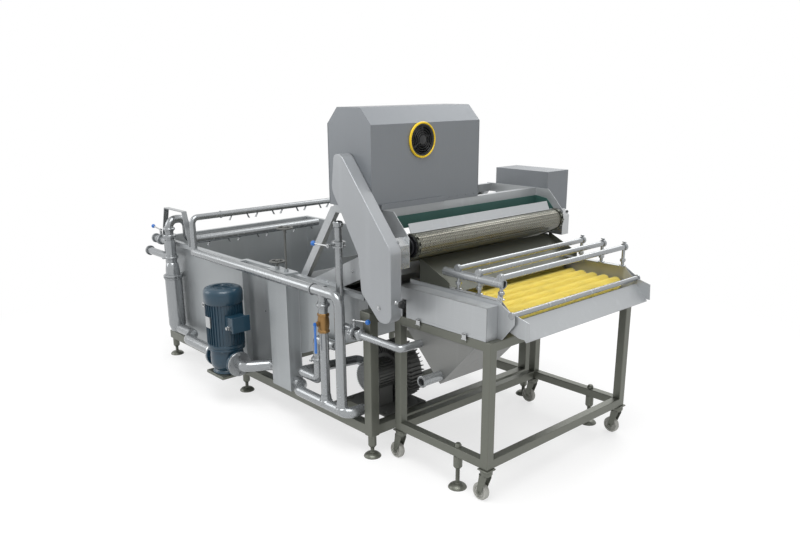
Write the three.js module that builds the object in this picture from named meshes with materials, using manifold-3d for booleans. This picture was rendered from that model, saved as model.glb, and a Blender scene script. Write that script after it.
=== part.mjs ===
import * as THREE from 'three';
import Module from 'manifold-3d';
import { mergeVertices } from 'three/addons/utils/BufferGeometryUtils.js';

// Fruit washing machine: wash tank, inclined mesh belt under a fan housing, and a castered
// brush table. Sizes in millimetres. X runs along the machine towards the discharge chute,
// the pumps stand on the -Y side, Z is up, and the layout starts at the cart's near front corner.

// Shared small sizes
const seat = 0.3;
const over = 5;
const sheet = 3;
const thinSheet = 2;

// Cart under the brush table
const cart = { tube: 40, width: 1000, railBottom: 150, topRailBottom: 656, lugWidth: 20, lugHeight: 16 };
const caster = {
  wheelRadius: 38, wheelWidth: 26, hubRadius: 8, trail: 26, cheek: 4, cheekGap: 2, crown: 12,
  crownRadius: 24, plate: 7, plateSide: 56, axleRadius: 5, tyreRound: 6,
};

// Brush table
const brush = {
  count: 8, pitch: 62, firstInset: 57, lastInset: 64, rise: 67, radius: 30, backingRadius: 22,
  shaftRadius: 9, endGap: 6, sprocketRadius: 21, sprocketWidth: 8, sprocketInset: 32,
  shaftInset: 14, farStub: 17, strandRollers: 4, strandRows: 19, strandsRound: 4, strandRadius: 3,
};
const table = {
  coverDepth: 65, farInset: 47, plateHeight: 154, lip: 28, noseLength: 60, noseDrop: 50,
  noseHeight: 30, rearMargin: 31, barRadius: 11, barInset: 17, barAbove: 3,
};
const bearing = { side: 34, depth: 13, boreSides: 10 };
const cover = { height: 135, endMargin: 34, frontMargin: 24, slotGap: 3 };
const latch = {
  width: 24, height: 44, thickness: 4, standOff: 5, fromFront: 134, spacing: 264, pivotDrop: 24,
  hook: 8, lugDepth: 4.6, pivotOverhang: 1,
};
const chute = {
  inset: 10, rearX: 21, crestX: 22, tipX: 118, toeX: 122, heelX: 75, crestDrop: 37, tipDrop: 63,
  toeDrop: 133, rearDrop: 103, plateX: 50, plateDrop: 70, lipX: 108, lipDrop: 140, barGap: 1,
};
const hopper = {
  panRise: 34, farEnd: 330, nearInset: 5, leftInset: 70, rightInset: 85, apexFromFront: 276,
  depth: 207, stubRadius: 21, stubEnd: 105, stubWall: 3, stubRise: 38, rim: 3, rimWidth: 10,
};
const manifold = {
  headerRadius: 18, crossRadius: 12, headerRise: 64, crossRise: 88, postRadius: 9, footRadius: 14,
  footHeight: 5, firstInset: 26, spacing: 113, runs: 3, tail: 79, frontTail: 12, nearInset: 18.5,
  farInset: 20, capRadius: 18, capLength: 14, overhang: 12,
};

// Head drum, belt and elevator
const drum = {
  ahead: 41, rise: 249, radius: 42, flangeRadius: 47, flange: 6, flangeGap: 3, shaftRadius: 15,
  farShaft: 45, discRadius: 36, disc: 5,
};
const belt = {
  width: 980, thickness: 5, gap: 0.7, flightHeight: 46, flightSheet: 5, flightPitch: 262, edge: 22,
};
const elevator = {
  run: 1450, tailHeight: 180, sideGap: 28.5, railHeight: 96, beamTop: 138, beamHeight: 45,
  beamFront: 147, beamSheet: 3, legFoot: 866, legTop: 474, legOut: 22, legWidth: 50, legDepth: 26,
  legFlange: 4, noseAhead: 25,
  noseRise: 38, noseShoulder: 88, noseChamfer: 45, noseRear: 70, noseBelow: 82, noseBack: 70,
  tie: 30, ties: 3,
};
const headBox = { length: 75, depth: 50, below: 82, above: 43, chamfer: 30, bore: 0.4 };
const skirt = { thickness: 4, rise: 33, drop: 68, length: 112, crossRise: 44 };
const slide = { rear: 11, length: 172, rise: 100, frontRise: 23, sheetRear: 20, sheetTop: 90, sheetEnd: 150,
  sheetDrop: 30 };

// Chain guard and drive
const guard = {
  depth: 60, topBehind: 262, topRise: 288, topHalf: 60, topOver: 78, topRound: 25, topIn: 11,
  topFrontRound: 40, frontX: 33, kneeRound: 60, shoulderRise: 4, bottomDrop: 61, bottomBack: 2,
  rearBack: 115, rearRise: 45, rearRound: 30, bottomRound: 45, hipBack: 172, hipDrop: 46, backDrop: 72, backBehind: 80,
  boreGap: 3, knobRadius: 14, knobDepth: 16, neckRadius: 8, neckLength: 24, knobRise: 32,
  boltRadius: 9, boltDepth: 8,
};
const chain = {
  sprocketRadius: 21, thickness: 6, width: 7, lowerInset: 18, upperInset: 38, steps: 9,
};
const gearmotor = {
  boxSide: 110, boxDepth: 108, motorRadius: 50, motorLength: 190, shaftRadius: 11, motorRise: 8,
};

// Fan housing and its fan
const hood = {
  length: 650, width: 288, height: 348, shoulder: 68, shoulderInset: 67, behind: 147, portRise: 276,
  portAlong: 286, portRadius: 61, lipLength: 375, lipHeight: 22, lipDepth: 12, lipInset: 42,
};
const fan = {
  ringOuter: 77, ringInner: 60, ringDepth: 9, hubRadius: 18, hubDepth: 24, bladeRadius: 55, blades: 6,
  bladeWidth: 22, bladeThick: 2, bladeTurn: 0.6, setBack: 4, armWidth: 9, armDepth: 5, arms: 3,
  axleRadius: 6, axleGap: 0.5, capRadius: 22,
};

// Control cabinet
const cabinet = {
  length: 338, depth: 156, height: 202, behind: 78, rise: 18, door: 12, handle: 16, handleWidth: 14,
  handleHeight: 60, handleInset: 22, boardGap: 8, boardInset: 20, gearSide: 44, gearDepth: 40, gears: 4,
};

// Wash tank and main frame
const frame = { tube: 50, railBottom: 110, gapToCart: 67, legTop: 700, legFoot: 106, midFromFront: 1030 };
const tank = {
  length: 1930, depth: 605, behindLeg: 18, kneeFromFront: 1010, frontDepth: 205, wall: 3,
  bulge: 35, rim: 25,
};
const column = { fromFront: 535, length: 163, depth: 75, top: 10, window: 60 };
const foot = {
  padRadius: 40, padHeight: 12, coneHeight: 8, stemRadius: 9, nutRadius: 12,
  nutHeight: 10, socketRadius: 19, socketHeight: 48, cartInset: 180,
};
const bubble = { radius: 15, pipes: 3, endGap: 60, crossInset: 12 };

// Water pipework
const supply = {
  radius: 24, clear: 3, belowRim: 9, dropX: 78, leftIn: 528, bend: 48, dropBottom: 205,
  clampX: 280, clamp: 6, clampWidth: 12, clampArm: 6,
};
const header = { radius: 26, lead: 50, shift: 62, bend: 40, outX: 45, outY: 90, nutRadius: 31, nut: 22 };
const upperSpray = {
  radius: 13, riseRadius: 17, rise: 194, bend: 34, farGap: 72, nozzles: 9, nozzleRadius: 5,
  nozzleLength: 28, firstNozzle: 120, tilt: 0.5,
};
const riser = {
  fromEnd: 214, clear: 10, radius: 50, lowTop: 560, neckRadius: 30, flangeRadius: 58, flangeThick: 12,
  bandRadius: 40, band: 14, bandTop: 640, loopTop: 900, loopRadius: 24, loopIn: 112, loopBend: 50,
  pipeRadius: 36, pipeZ: 240, pipeBend: 55, jogShare: 0.55, stubZ: 675, stubLength: 294, stubRadius: 22,
  stubRing: 8, branchZ: 768, branchLength: 190, branchRadius: 20, hoopOffset: 14, hoopWidth: 30, hoopSheet: 5,
  hoopLeft: 133, hoopRight: 213, hoopShoulder: 60, hoopTop: 964, valveShare: 0.6,
};
const lowerSpray = { radius: 18, z: 760, farGap: 62, nozzles: 8, nozzleRadius: 6, nozzleLength: 34,
  firstNozzle: 140, tilt: 0.5 };
const ballValve = {
  fromFront: 200, radius: 24, bottom: 564, height: 92, nutRadius: 28, nutHeight: 14, leverLength: 140,
  leverWidth: 16, leverThick: 5, stem: 22, stemRadius: 8,
};
const rinse = {
  fromFront: 148, radius: 17, bottom: 600, valveRise: 375, top: 1078, jog: 32, jogX: 58,
  hopperX: 395, jogBend: 18, thirdX: 11, tee: 23, teeHeight: 26,
};
const valve = {
  radius: 31, width: 26, stemRadius: 7, stem: 24, hubRadius: 10, hub: 8, arm: 96, armRadius: 4,
  armStart: 4, knobRadius: 12, rise: 10,
};
const wheelStand = {
  tallInset: 45, lowInset: 38, tall: 217, short: 38, tallRadius: 41, lowRadius: 39, rimRadius: 5,
  hubRadius: 9, hub: 14, spokes: 3, spokeRadius: 4, spindle: 6, spindleGap: 0.6, nutRadius: 12,
  nutHeight: 14, reach: 30,
};

// Pump
const pump = {
  fromFront: 1000, offWall: 130, shelfRise: 15, shelfSide: 170, bodyRadius: 88, lidRadius: 98, base: 14,
  baseRadius: 80, bodyHeight: 115, lid: 14, motorRadius: 100, motorHeight: 325, cowlHeight: 82,
  cowlRadius: 105, cowlRound: 24, axisRise: 65, flangeRadius: 68, flange: 14, flangeReach: 115,
  neckRadius: 38, bore: 70, boreHeight: 92, boreRise: 30, shaftRadius: 14, shaftGap: 0.35, shaftSides: 16,
  impellerRadius: 62, impellerHeight: 30, impellerRise: 60, cavityRadius: 68, cavityHeight: 200,
  cavityRise: 18, rotorRadius: 62, rotorHeight: 180, rotorRise: 28, shaftTop: 210, ribs: 12, rib: 5,
  ribWidth: 4, ribGap: 20, boxX: 72, boxY: 106, boxZ: 85, boxRise: 110, plateX: 44, plateZ: 60,
  plate: 7, plateRise: 117, pipeRadius: 30, pipeBend: 40,
  pipeLead: 62, pipeShift: 70,
};

// Blower
const blower = {
  railBehind: 363, rest: 8, nearY: 35, motorLength: 160, clear: 4, radiusShare: 0.232, depth: 105, fins: 20,
  finWidth: 6, fin: 7, finInset: 10, motorRadius: 74, cowlRadius: 77, cowl: 30, plate: 8, footWidth: 110,
  footInset: 20, ribs: 12, rib: 5, ribWidth: 4,
};
const air = {
  radius: 25, root: 25, outZ: 40, firstRun: 165, secondRun: 65, off: 8, loopX: 345, loopHigh: 208,
  enterX: 195, bend: 42,
};

// Places worked out from the sizes
const cartLength = brush.firstInset + (brush.count - 1) * brush.pitch + brush.lastInset;
const cartTop = cart.topRailBottom + cart.tube;
const rollerZ = cartTop + brush.rise;
const lastRollerX = -(brush.firstInset + (brush.count - 1) * brush.pitch);
const nearPlate = table.coverDepth;
const farPlate = cart.width - table.farInset - sheet;
const plateTop = cartTop + table.plateHeight;
const drumX = lastRollerX + drum.ahead;
const drumZ = rollerZ + drum.rise;
const frameFront = -(cartLength + frame.gapToCart);
const tankFloor = frame.railBottom + frame.tube;
const rimZ = tankFloor + tank.depth;
const tankFront = frameFront - frame.tube - tank.behindLeg;
const tankLeft = tankFront - tank.length;
const kneeX = tankFront - tank.kneeFromFront;
const tailX = drumX - elevator.run;
const tailZ = tankFloor + elevator.tailHeight;
const beltAngle = Math.atan2(drumZ - tailZ, drumX - tailX);
const plateNear = -(elevator.sideGap + sheet);
const plateFar = belt.width + elevator.sideGap;
const wallNear = plateNear - seat - tank.wall;
const wallFar = plateFar + sheet + seat;
const bulgeNear = wallNear - tank.bulge;
const legNear = wallNear - frame.tube;
const legFar = wallFar + tank.wall;
const beamZ = drumZ + elevator.beamTop;
const hoodFront = drumX - hood.behind;
const guardFar = plateNear - headBox.depth - seat * 2;
const hoodNear = guardFar + seat * 2;
const gearX = drumX - guard.topBehind;
const gearZ = drumZ + guard.topRise;
const columnLeft = tankFront - column.fromFront - column.length;
const columnRight = tankFront - column.fromFront;
const columnNear = wallNear - column.depth;
const pipeY = columnNear - supply.clear - supply.radius;
const pipeZ = rimZ - supply.belowRim;
const dropX = tankFront - supply.dropX;
const riserX = tankLeft + riser.fromEnd;
const riserY = bulgeNear - riser.clear - riser.radius;
const pumpX = tankFront - pump.fromFront;
const pumpY = bulgeNear - pump.offWall;
const shelfTop = tankFloor + pump.shelfRise;
const voluteTop = shelfTop + pump.base + pump.bodyHeight;
const motorBottom = voluteTop + pump.lid + seat;
const pumpAxis = shelfTop + pump.axisRise;
const ballValveX = tankFront - ballValve.fromFront;
const rinseX = tankFront - rinse.fromFront;
const rinseY = wallNear - tank.rim - seat - rinse.radius;
const rinseOutY = rinseY - rinse.jog;
const blowerRail = frameFront - blower.railBehind;
const blowerLeft = blowerRail + frame.tube / 2;
const blowerRight = frameFront - frame.tube + blower.rest;
const blowerX = (blowerLeft + blowerRight) / 2;
const blowerRadius = tank.depth * blower.radiusShare;
const blowerZ = tankFloor + blower.plate + blower.clear + blowerRadius;
const blowerJoint = blower.nearY + blower.motorLength;
const blowerFar = blowerJoint + blower.depth;

const wasm = await Module();
wasm.setup();

// Closed meshes are joined and cut as solids
function toSolid(geometry) {
  const bare = geometry.index ? geometry.toNonIndexed() : geometry.clone();
  bare.deleteAttribute('normal');
  bare.deleteAttribute('uv');
  const merged = mergeVertices(bare, 1e-4);
  return new wasm.Manifold(new wasm.Mesh({
    numProp: 3,
    vertProperties: new Float32Array(merged.attributes.position.array),
    triVerts: new Uint32Array(merged.index.array),
  }));
}

function toGeometry(solid) {
  const mesh = solid.getMesh();
  const geometry = new THREE.BufferGeometry();
  geometry.setAttribute('position', new THREE.BufferAttribute(new Float32Array(mesh.vertProperties), 3));
  geometry.setIndex(new THREE.BufferAttribute(new Uint32Array(mesh.triVerts), 1));
  return geometry;
}

function join(pieces) {
  return toGeometry(pieces.map(toSolid).reduce((sum, solid) => sum.add(solid)));
}

function cut(body, tools) {
  return toGeometry(tools.map(toSolid).reduce((rest, tool) => rest.subtract(tool), toSolid(body)));
}

// Simple shapes, placed by their limits
function box(x, y, z) {
  const geometry = new THREE.BoxGeometry(x[1] - x[0], y[1] - y[0], z[1] - z[0]);
  return geometry.translate((x[0] + x[1]) / 2, (y[0] + y[1]) / 2, (z[0] + z[1]) / 2);
}

function rodX(x, y, z, radius, sides = 8) {
  const geometry = new THREE.CylinderGeometry(radius, radius, x[1] - x[0], sides);
  return geometry.rotateZ(Math.PI / 2).translate((x[0] + x[1]) / 2, y, z);
}

function rodY(x, y, z, radius, sides = 8) {
  const geometry = new THREE.CylinderGeometry(radius, radius, y[1] - y[0], sides);
  return geometry.translate(x, (y[0] + y[1]) / 2, z);
}

function rodZ(x, y, z, radius, sides = 8) {
  const geometry = new THREE.CylinderGeometry(radius, radius, z[1] - z[0], sides);
  return geometry.rotateX(Math.PI / 2).translate(x, y, (z[0] + z[1]) / 2);
}

// Circumradius of a many-sided bore whose flats clear a shaft
function boreRadius(shaft, gap, sides = 8) {
  return shaft / Math.cos(Math.PI / sides) + gap;
}

function ball(x, y, z, radius) {
  return new THREE.IcosahedronGeometry(radius, 1).translate(x, y, z);
}

// An outline in X and Z, pushed through the Y limits
function plateXZ(outline, y, holes = []) {
  const shape = new THREE.Shape(outline.map(([u, v]) => new THREE.Vector2(u, v)));
  shape.holes = holes.map((hole) => new THREE.Path(hole.map(([u, v]) => new THREE.Vector2(u, v))));
  const geometry = new THREE.ExtrudeGeometry(shape, { depth: y[1] - y[0], bevelEnabled: false });
  return geometry.rotateX(Math.PI / 2).translate(0, y[1], 0);
}

// A turned piece: profile points are radius and height along Z
function turned(profile, sides) {
  const points = profile.map(([radius, height]) => new THREE.Vector2(radius, height));
  return new THREE.LatheGeometry(points, sides).rotateX(Math.PI / 2);
}

function turnedY(profile, sides, x, z) {
  return turned(profile, sides).rotateX(-Math.PI / 2).rotateY(Math.PI).translate(x, 0, z);
}

function arcPoints(x, z, radius, from, to, steps) {
  const points = [];
  for (let step = 0; step <= steps; step += 1) {
    const angle = from + ((to - from) * step) / steps;
    points.push([x + radius * Math.cos(angle), z + radius * Math.sin(angle)]);
  }
  return points;
}

// The line round two equal circles, as a belt or chain runs
function loopOutline(a, b, radius, steps) {
  const angle = Math.atan2(b[1] - a[1], b[0] - a[0]);
  const quarter = Math.PI / 2;
  return [
    ...arcPoints(b[0], b[1], radius, angle - quarter, angle + quarter, steps),
    ...arcPoints(a[0], a[1], radius, angle + quarter, angle + 3 * quarter, steps),
  ];
}

// A pipe route: straight runs with a round bend at each corner
class PipeRoute extends THREE.Curve {
  constructor(corners, bend, bendSteps) {
    super();
    const points = corners.map((corner) => new THREE.Vector3(...corner));
    this.stations = [];
    points.forEach((point, index) => {
      const before = points[index - 1];
      const after = points[index + 1];
      if (!before || !after) {
        const along = after ? after.clone().sub(point) : point.clone().sub(before);
        this.stations.push({ place: point, heading: along.normalize() });
        return;
      }
      const arriving = point.clone().sub(before).normalize();
      const leaving = after.clone().sub(point).normalize();
      const turn = arriving.angleTo(leaving);
      const reach = bend * Math.tan(turn / 2);
      const axis = arriving.clone().cross(leaving).normalize();
      const start = point.clone().addScaledVector(arriving, -reach);
      const centre = start.clone().addScaledVector(axis.clone().cross(arriving), bend);
      for (let step = 0; step <= bendSteps; step += 1) {
        const angle = (turn * step) / bendSteps;
        const place = start.clone().sub(centre).applyAxisAngle(axis, angle).add(centre);
        this.stations.push({ place, heading: arriving.clone().applyAxisAngle(axis, angle) });
      }
    });
  }

  getPointAt(u) {
    return this.stations[Math.round(u * (this.stations.length - 1))].place.clone();
  }

  getTangentAt(u) {
    return this.stations[Math.round(u * (this.stations.length - 1))].heading.clone();
  }

  getPoint(t) {
    return this.getPointAt(t);
  }
}

function pipe(corners, radius, bend, sides = 8, bendSteps = 2) {
  const route = new PipeRoute(corners, bend, bendSteps);
  const section = new THREE.Shape();
  section.moveTo(radius, 0);
  for (let side = 1; side < sides; side += 1) {
    const angle = (2 * Math.PI * side) / sides;
    section.lineTo(radius * Math.cos(angle), radius * Math.sin(angle));
  }
  return new THREE.ExtrudeGeometry(section, {
    steps: route.stations.length - 1, bevelEnabled: false, extrudePath: route,
  });
}

// Finishes
function finish(colour, roughness, metalness) {
  return new THREE.MeshStandardMaterial({ color: colour, roughness, metalness });
}

const stainless = finish(0xb4b7b8, 0.35, 0.9);
const darkStainless = finish(0x8b8d88, 0.42, 0.85);
const brightStainless = finish(0xd4d6d6, 0.22, 0.95);
const meshSteel = finish(0xa9a79c, 0.45, 0.85);
const castGrey = finish(0x74777a, 0.55, 0.5);
const pumpBlue = finish(0x1c4a60, 0.45, 0.3);
const brass = finish(0xa98a5c, 0.4, 0.8);
const knobBlue = finish(0x1f72c4, 0.4, 0.0);
const brushYellow = finish(0xe8c02c, 0.8, 0.0);
const warningYellow = finish(0xe6c21e, 0.5, 0.0);
const blackPlastic = finish(0x18191a, 0.5, 0.1);
const rubberTeal = finish(0x4d8c84, 0.6, 0.0);
const wheelGrey = finish(0x9b9c96, 0.6, 0.0);

const machine = new THREE.Group();

function add(name, geometry, material) {
  const mesh = new THREE.Mesh(geometry, material);
  mesh.name = name;
  mesh.geometry.computeVertexNormals();
  machine.add(mesh);
}

// Where the two handwheels stand on the suction column
const columnY = (columnNear + wallNear) / 2;

function wheelPlaces() {
  return [
    { x: columnRight - wheelStand.tallInset, rise: wheelStand.tall, radius: wheelStand.tallRadius },
    { x: columnLeft + wheelStand.lowInset, rise: wheelStand.short, radius: wheelStand.lowRadius },
  ];
}

// Wash tank with its stepped near wall, sloping floor, rim and suction column
function tankOutline(inset, lift) {
  const floorRise = (tank.depth - tank.frontDepth) / tank.kneeFromFront;
  const frontX = tankFront - inset;
  const frontFloor = rimZ - tank.frontDepth - inset * floorRise + inset;
  return [
    [tankLeft + inset, rimZ + lift], [tankLeft + inset, tankFloor + inset],
    [kneeX, tankFloor + inset], [frontX, frontFloor], [frontX, rimZ + lift],
  ];
}

function bulgeOutline(inset, lift) {
  return [
    [tankLeft + inset, rimZ + lift], [tankLeft + inset, tankFloor + inset],
    [kneeX - inset, tankFloor + inset], [kneeX - inset, rimZ + lift],
  ];
}

function tankShell() {
  const wall = tank.wall;
  const outer = join([
    plateXZ(tankOutline(0, 0), [wallNear, legFar]),
    plateXZ(bulgeOutline(0, 0), [bulgeNear, wallNear + wall]),
  ]);
  const rim = tank.rim;
  const lap = wall / 2;
  const rimLow = [rimZ - rim, rimZ - seat];
  const flange = join([
    box([tankLeft - rim, kneeX + rim], [bulgeNear - rim, bulgeNear + lap], rimLow),
    box([kneeX - lap, kneeX + rim], [bulgeNear - rim, wallNear + lap], rimLow),
    box([kneeX, tankFront], [wallNear - rim, wallNear + lap], rimLow),
    box([tankLeft - rim, tankFront], [legFar - lap, legFar + rim], rimLow),
    box([tankLeft - rim, tankLeft + lap], [bulgeNear - rim, legFar + rim], rimLow),
  ]);
  const columnX = [columnLeft, columnRight];
  const columnZ = [tankFloor + seat, rimZ + column.top];
  const post = box(columnX, [columnNear, wallNear + lap], columnZ);
  const nuts = wheelPlaces().map(({ x }) => rodZ(x, columnY, [columnZ[1] - wall, columnZ[1] + wheelStand.nutHeight],
    wheelStand.nutRadius, 6));
  const body = join([outer, flange, post, ...nuts]);
  const bores = wheelPlaces().map(({ x }) => rodZ(x, columnY,
    [columnZ[1] - wall - over, columnZ[1] + wheelStand.nutHeight + over],
    wheelStand.spindle + wheelStand.spindleGap, 8));
  const columnRoom = box(
    [columnX[0] + wall, columnX[1] - wall], [columnNear + wall, wallNear],
    [columnZ[0] + wall, columnZ[1] - wall]);
  const centre = columnLeft + column.length / 2;
  const window = box(
    [centre - column.window / 2, centre + column.window / 2], [wallNear - over, wallNear + wall + over],
    [rimZ - tank.frontDepth - column.window / 2, rimZ - tank.frontDepth + column.window]);
  return cut(body, [
    plateXZ(tankOutline(wall, over), [wallNear + wall, legFar - wall]),
    plateXZ(bulgeOutline(wall, over), [bulgeNear + wall, wallNear + wall + over]),
    columnRoom, window, ...bores,
  ]);
}

add('tank_shell', tankShell(), stainless);

// Levelling foot screwed into a tube: pad, cone, screw, lock nut and socket
function levelFoot(x, y, top) {
  const socket = top - foot.socketHeight;
  const nut = socket - foot.nutHeight;
  return turned([
    [0, 0], [foot.padRadius, 0], [foot.padRadius, foot.padHeight / 2],
    [foot.stemRadius, foot.padHeight + foot.coneHeight], [foot.stemRadius, nut], [foot.nutRadius, nut],
    [foot.socketRadius, socket], [foot.socketRadius, top + seat], [0, top + seat],
  ], 6).translate(x, y, 0);
}

// Main frame: rails under the tank, front legs, pump shelf and levelling feet
const railZ = [frame.railBottom, tankFloor];
const midRailX = tankFront - frame.midFromFront - frame.tube;

function mainFrame() {
  const half = frame.tube / 2;
  const frontX = [frameFront - frame.tube, frameFront];
  const nearY = [legNear, wallNear];
  const farY = [legFar, legFar + frame.tube];
  const acrossY = [legNear, legFar + frame.tube];
  const shelfX = [pumpX - pump.shelfSide / 2, pumpX + pump.shelfSide / 2];
  const pieces = [
    box([tankLeft, frameFront], nearY, railZ),
    box([tankLeft, frameFront], farY, railZ),
    box([tankLeft, tankLeft + frame.tube], acrossY, railZ),
    box([midRailX, midRailX + frame.tube], acrossY, railZ),
    box([blowerRail, blowerRail + frame.tube], acrossY, railZ),
    box(frontX, acrossY, railZ),
    box(frontX, nearY, [frame.legFoot, frame.legTop]),
    box(frontX, farY, [frame.legFoot, frame.legTop]),
    box([tankFront + seat, frameFront], acrossY, [frame.legTop - frame.tube, frame.legTop]),
    box(shelfX, [pumpY - pump.shelfSide / 2, bulgeNear - seat], [tankFloor - sheet, shelfTop]),
  ];
  for (const y of [legNear + half, legFar + half]) {
    pieces.push(levelFoot(tankLeft + half, y, frame.railBottom));
    pieces.push(levelFoot(midRailX + half, y, frame.railBottom));
    pieces.push(levelFoot(frameFront - half, y, frame.legFoot));
  }
  return join(pieces);
}

add('main_frame', mainFrame(), darkStainless);

// Bubble pipes on the tank floor, joined by one cross pipe
function bubblePipes() {
  const z = tankFloor + tank.wall + seat + bubble.radius;
  const left = tankLeft + bubble.endGap;
  const right = kneeX - bubble.endGap;
  const span = legFar - tank.wall - wallNear - tank.wall;
  const first = wallNear + tank.wall + span / (bubble.pipes * 2);
  const step = span / bubble.pipes;
  const pieces = [];
  for (let index = 0; index < bubble.pipes; index += 1) {
    pieces.push(rodX([left, right], first + index * step, z, bubble.radius, 8));
  }
  const last = first + (bubble.pipes - 1) * step;
  pieces.push(rodY(right - bubble.crossInset, [first, last], z, bubble.radius, 8));
  return join(pieces);
}

add('bubble_pipes', bubblePipes(), stainless);

// Elevator frame: side plates along the belt, hood stand with legs, nose plates and cross ties
function beltPoint(along, above) {
  return [
    drumX - along * Math.cos(beltAngle) - above * Math.sin(beltAngle),
    drumZ - along * Math.sin(beltAngle) + above * Math.cos(beltAngle),
  ];
}

const beltLength = Math.hypot(drumX - tailX, drumZ - tailZ);
const beltInner = drum.radius + belt.gap;
const beltOuter = beltInner + belt.thickness;
const standLeft = drumX - elevator.legTop;
const standFootX = drumX - elevator.legFoot;

function elevatorSide(y) {
  const low = -elevator.railHeight / 2;
  const high = elevator.railHeight / 2;
  const start = elevator.noseBack;
  const end = beltLength + elevator.railHeight / 2;
  const rail = plateXZ([
    beltPoint(end, low), beltPoint(start, low), beltPoint(start, high), beltPoint(end, high),
  ], y);
  const beamLow = beamZ - elevator.beamHeight;
  const nose = drumX + elevator.noseAhead;
  const footZ = drumZ - elevator.legFoot * Math.tan(beltAngle);
  const topZ = beamZ - elevator.beamHeight / 2;
  const topX = standLeft - elevator.legOut;
  const strip = (from, to, range) => plateXZ([
    [standFootX + from, footZ], [standFootX + to, footZ], [topX + to, topZ], [topX + from, topZ],
  ], range);
  const inward = y[0] < 0 ? [y[0], y[0] + elevator.legDepth] : [y[1] - elevator.legDepth, y[1]];
  const leg = join([
    strip(0, elevator.legWidth, y),
    strip(0, elevator.legFlange, inward),
    strip(elevator.legWidth - elevator.legFlange, elevator.legWidth, inward),
  ]);
  const stand = plateXZ([
    [standLeft, beamLow], [drumX - elevator.beamFront, beamLow], [drumX - headBox.length, drumZ],
    [drumX - headBox.length, drumZ - elevator.noseBelow], [nose, drumZ - elevator.noseBelow],
    [nose, drumZ + elevator.noseRise], [nose - elevator.noseChamfer, drumZ + elevator.noseShoulder],
    [drumX - elevator.noseRear, beamZ], [standLeft, beamZ],
  ], y);
  return join([rail, leg, stand]);
}

function elevatorFrame() {
  const near = [plateNear, plateNear + sheet];
  const far = [plateFar, plateFar + sheet];
  const across = [plateNear + sheet / 2, plateFar + sheet / 2];
  const pieces = [elevatorSide(near), elevatorSide(far)];
  const beamX = drumX - elevator.beamFront - seat;
  const beamRange = [beamZ - elevator.beamHeight + seat, beamZ - seat];
  pieces.push(box([beamX - elevator.beamSheet, beamX], across, beamRange));
  pieces.push(box([beamX - elevator.tie, beamX - elevator.beamSheet / 2], across,
    [beamRange[1] - elevator.beamSheet - seat, beamRange[1] - seat]));
  pieces.push(box([standLeft + sheet, standLeft + elevator.tie], across,
    [beamZ - elevator.beamHeight + sheet, beamZ - sheet]));
  for (let index = 1; index <= elevator.ties; index += 1) {
    const [x, z] = beltPoint((beltLength * index) / (elevator.ties + 1), 0);
    pieces.push(box([x - elevator.tie / 2, x + elevator.tie / 2], across,
      [z - elevator.tie / 2, z + elevator.tie / 2]));
  }
  const shaftBore = boreRadius(drum.shaftRadius, headBox.bore);
  const wide = [plateNear - over, plateFar + sheet + over];
  return cut(join(pieces), [
    rodY(drumX, wide, drumZ, shaftBore), rodY(tailX, wide, tailZ, shaftBore),
  ]);
}

add('elevator_frame', elevatorFrame(), stainless);

// Mesh belt: one closed loop round both drums, with flights standing on it
function meshBelt() {
  const head = [drumX, drumZ];
  const tail = [tailX, tailZ];
  const loop = plateXZ(loopOutline(tail, head, beltOuter, 10), [0, belt.width],
    [loopOutline(tail, head, beltInner, 10)]);
  const pieces = [loop];
  const root = beltOuter - belt.thickness / 2;
  const tip = beltOuter + belt.flightHeight;
  const half = belt.flightSheet / 2;
  const across = [belt.edge, belt.width - belt.edge];
  const flight = (along, from, to) => plateXZ([
    beltPoint(along - half, from), beltPoint(along - half, to),
    beltPoint(along + half, to), beltPoint(along + half, from),
  ], across);
  for (let along = 0; along < beltLength; along += belt.flightPitch) {
    pieces.push(flight(along, root, tip));
    if (along + belt.flightPitch / 2 < beltLength) {
      pieces.push(flight(along + belt.flightPitch / 2, -tip, -root));
    }
  }
  return join(pieces);
}

add('mesh_belt', meshBelt(), meshSteel);

// Drums: shaft, drum body, chain flanges and shaft discs, turned about Y
const lowerChainY = guardFar - sheet - chain.lowerInset;
const upperChainY = guardFar - sheet - chain.upperInset;

function drumProfile(nearEnd, farEnd) {
  const shaft = drum.shaftRadius;
  const body = [-drum.flangeGap, belt.width + drum.flangeGap];
  return [
    [0, nearEnd], [shaft, nearEnd], [shaft, body[0] - drum.flange], [drum.flangeRadius, body[0] - drum.flange],
    [drum.flangeRadius, body[0]], [drum.radius, body[0]], [drum.radius, body[1]],
    [drum.flangeRadius, body[1]], [drum.flangeRadius, body[1] + drum.flange],
    [shaft, body[1] + drum.flange], [shaft, farEnd], [0, farEnd],
  ];
}

function sprocket(x, y, z, radius, width) {
  return rodY(x, [y - width / 2, y + width / 2], z, radius, 10);
}

function headDrum() {
  const nearEnd = upperChainY - chain.width;
  const farEnd = plateFar + sheet + drum.farShaft;
  const discY = [-drum.flangeGap - drum.flange - drum.disc * 2, -drum.flangeGap - drum.flange];
  return join([
    turnedY(drumProfile(nearEnd, farEnd), 12, drumX, drumZ),
    rodY(drumX, discY, drumZ, drum.discRadius, 12),
    sprocket(drumX, lowerChainY, drumZ, chain.sprocketRadius, chain.width),
    sprocket(drumX, upperChainY, drumZ, chain.sprocketRadius, chain.width),
  ]);
}

add('head_drum', headDrum(), blackPlastic);
add('tail_drum', turnedY(drumProfile(plateNear, plateFar + sheet), 12, tailX, tailZ), darkStainless);

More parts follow.
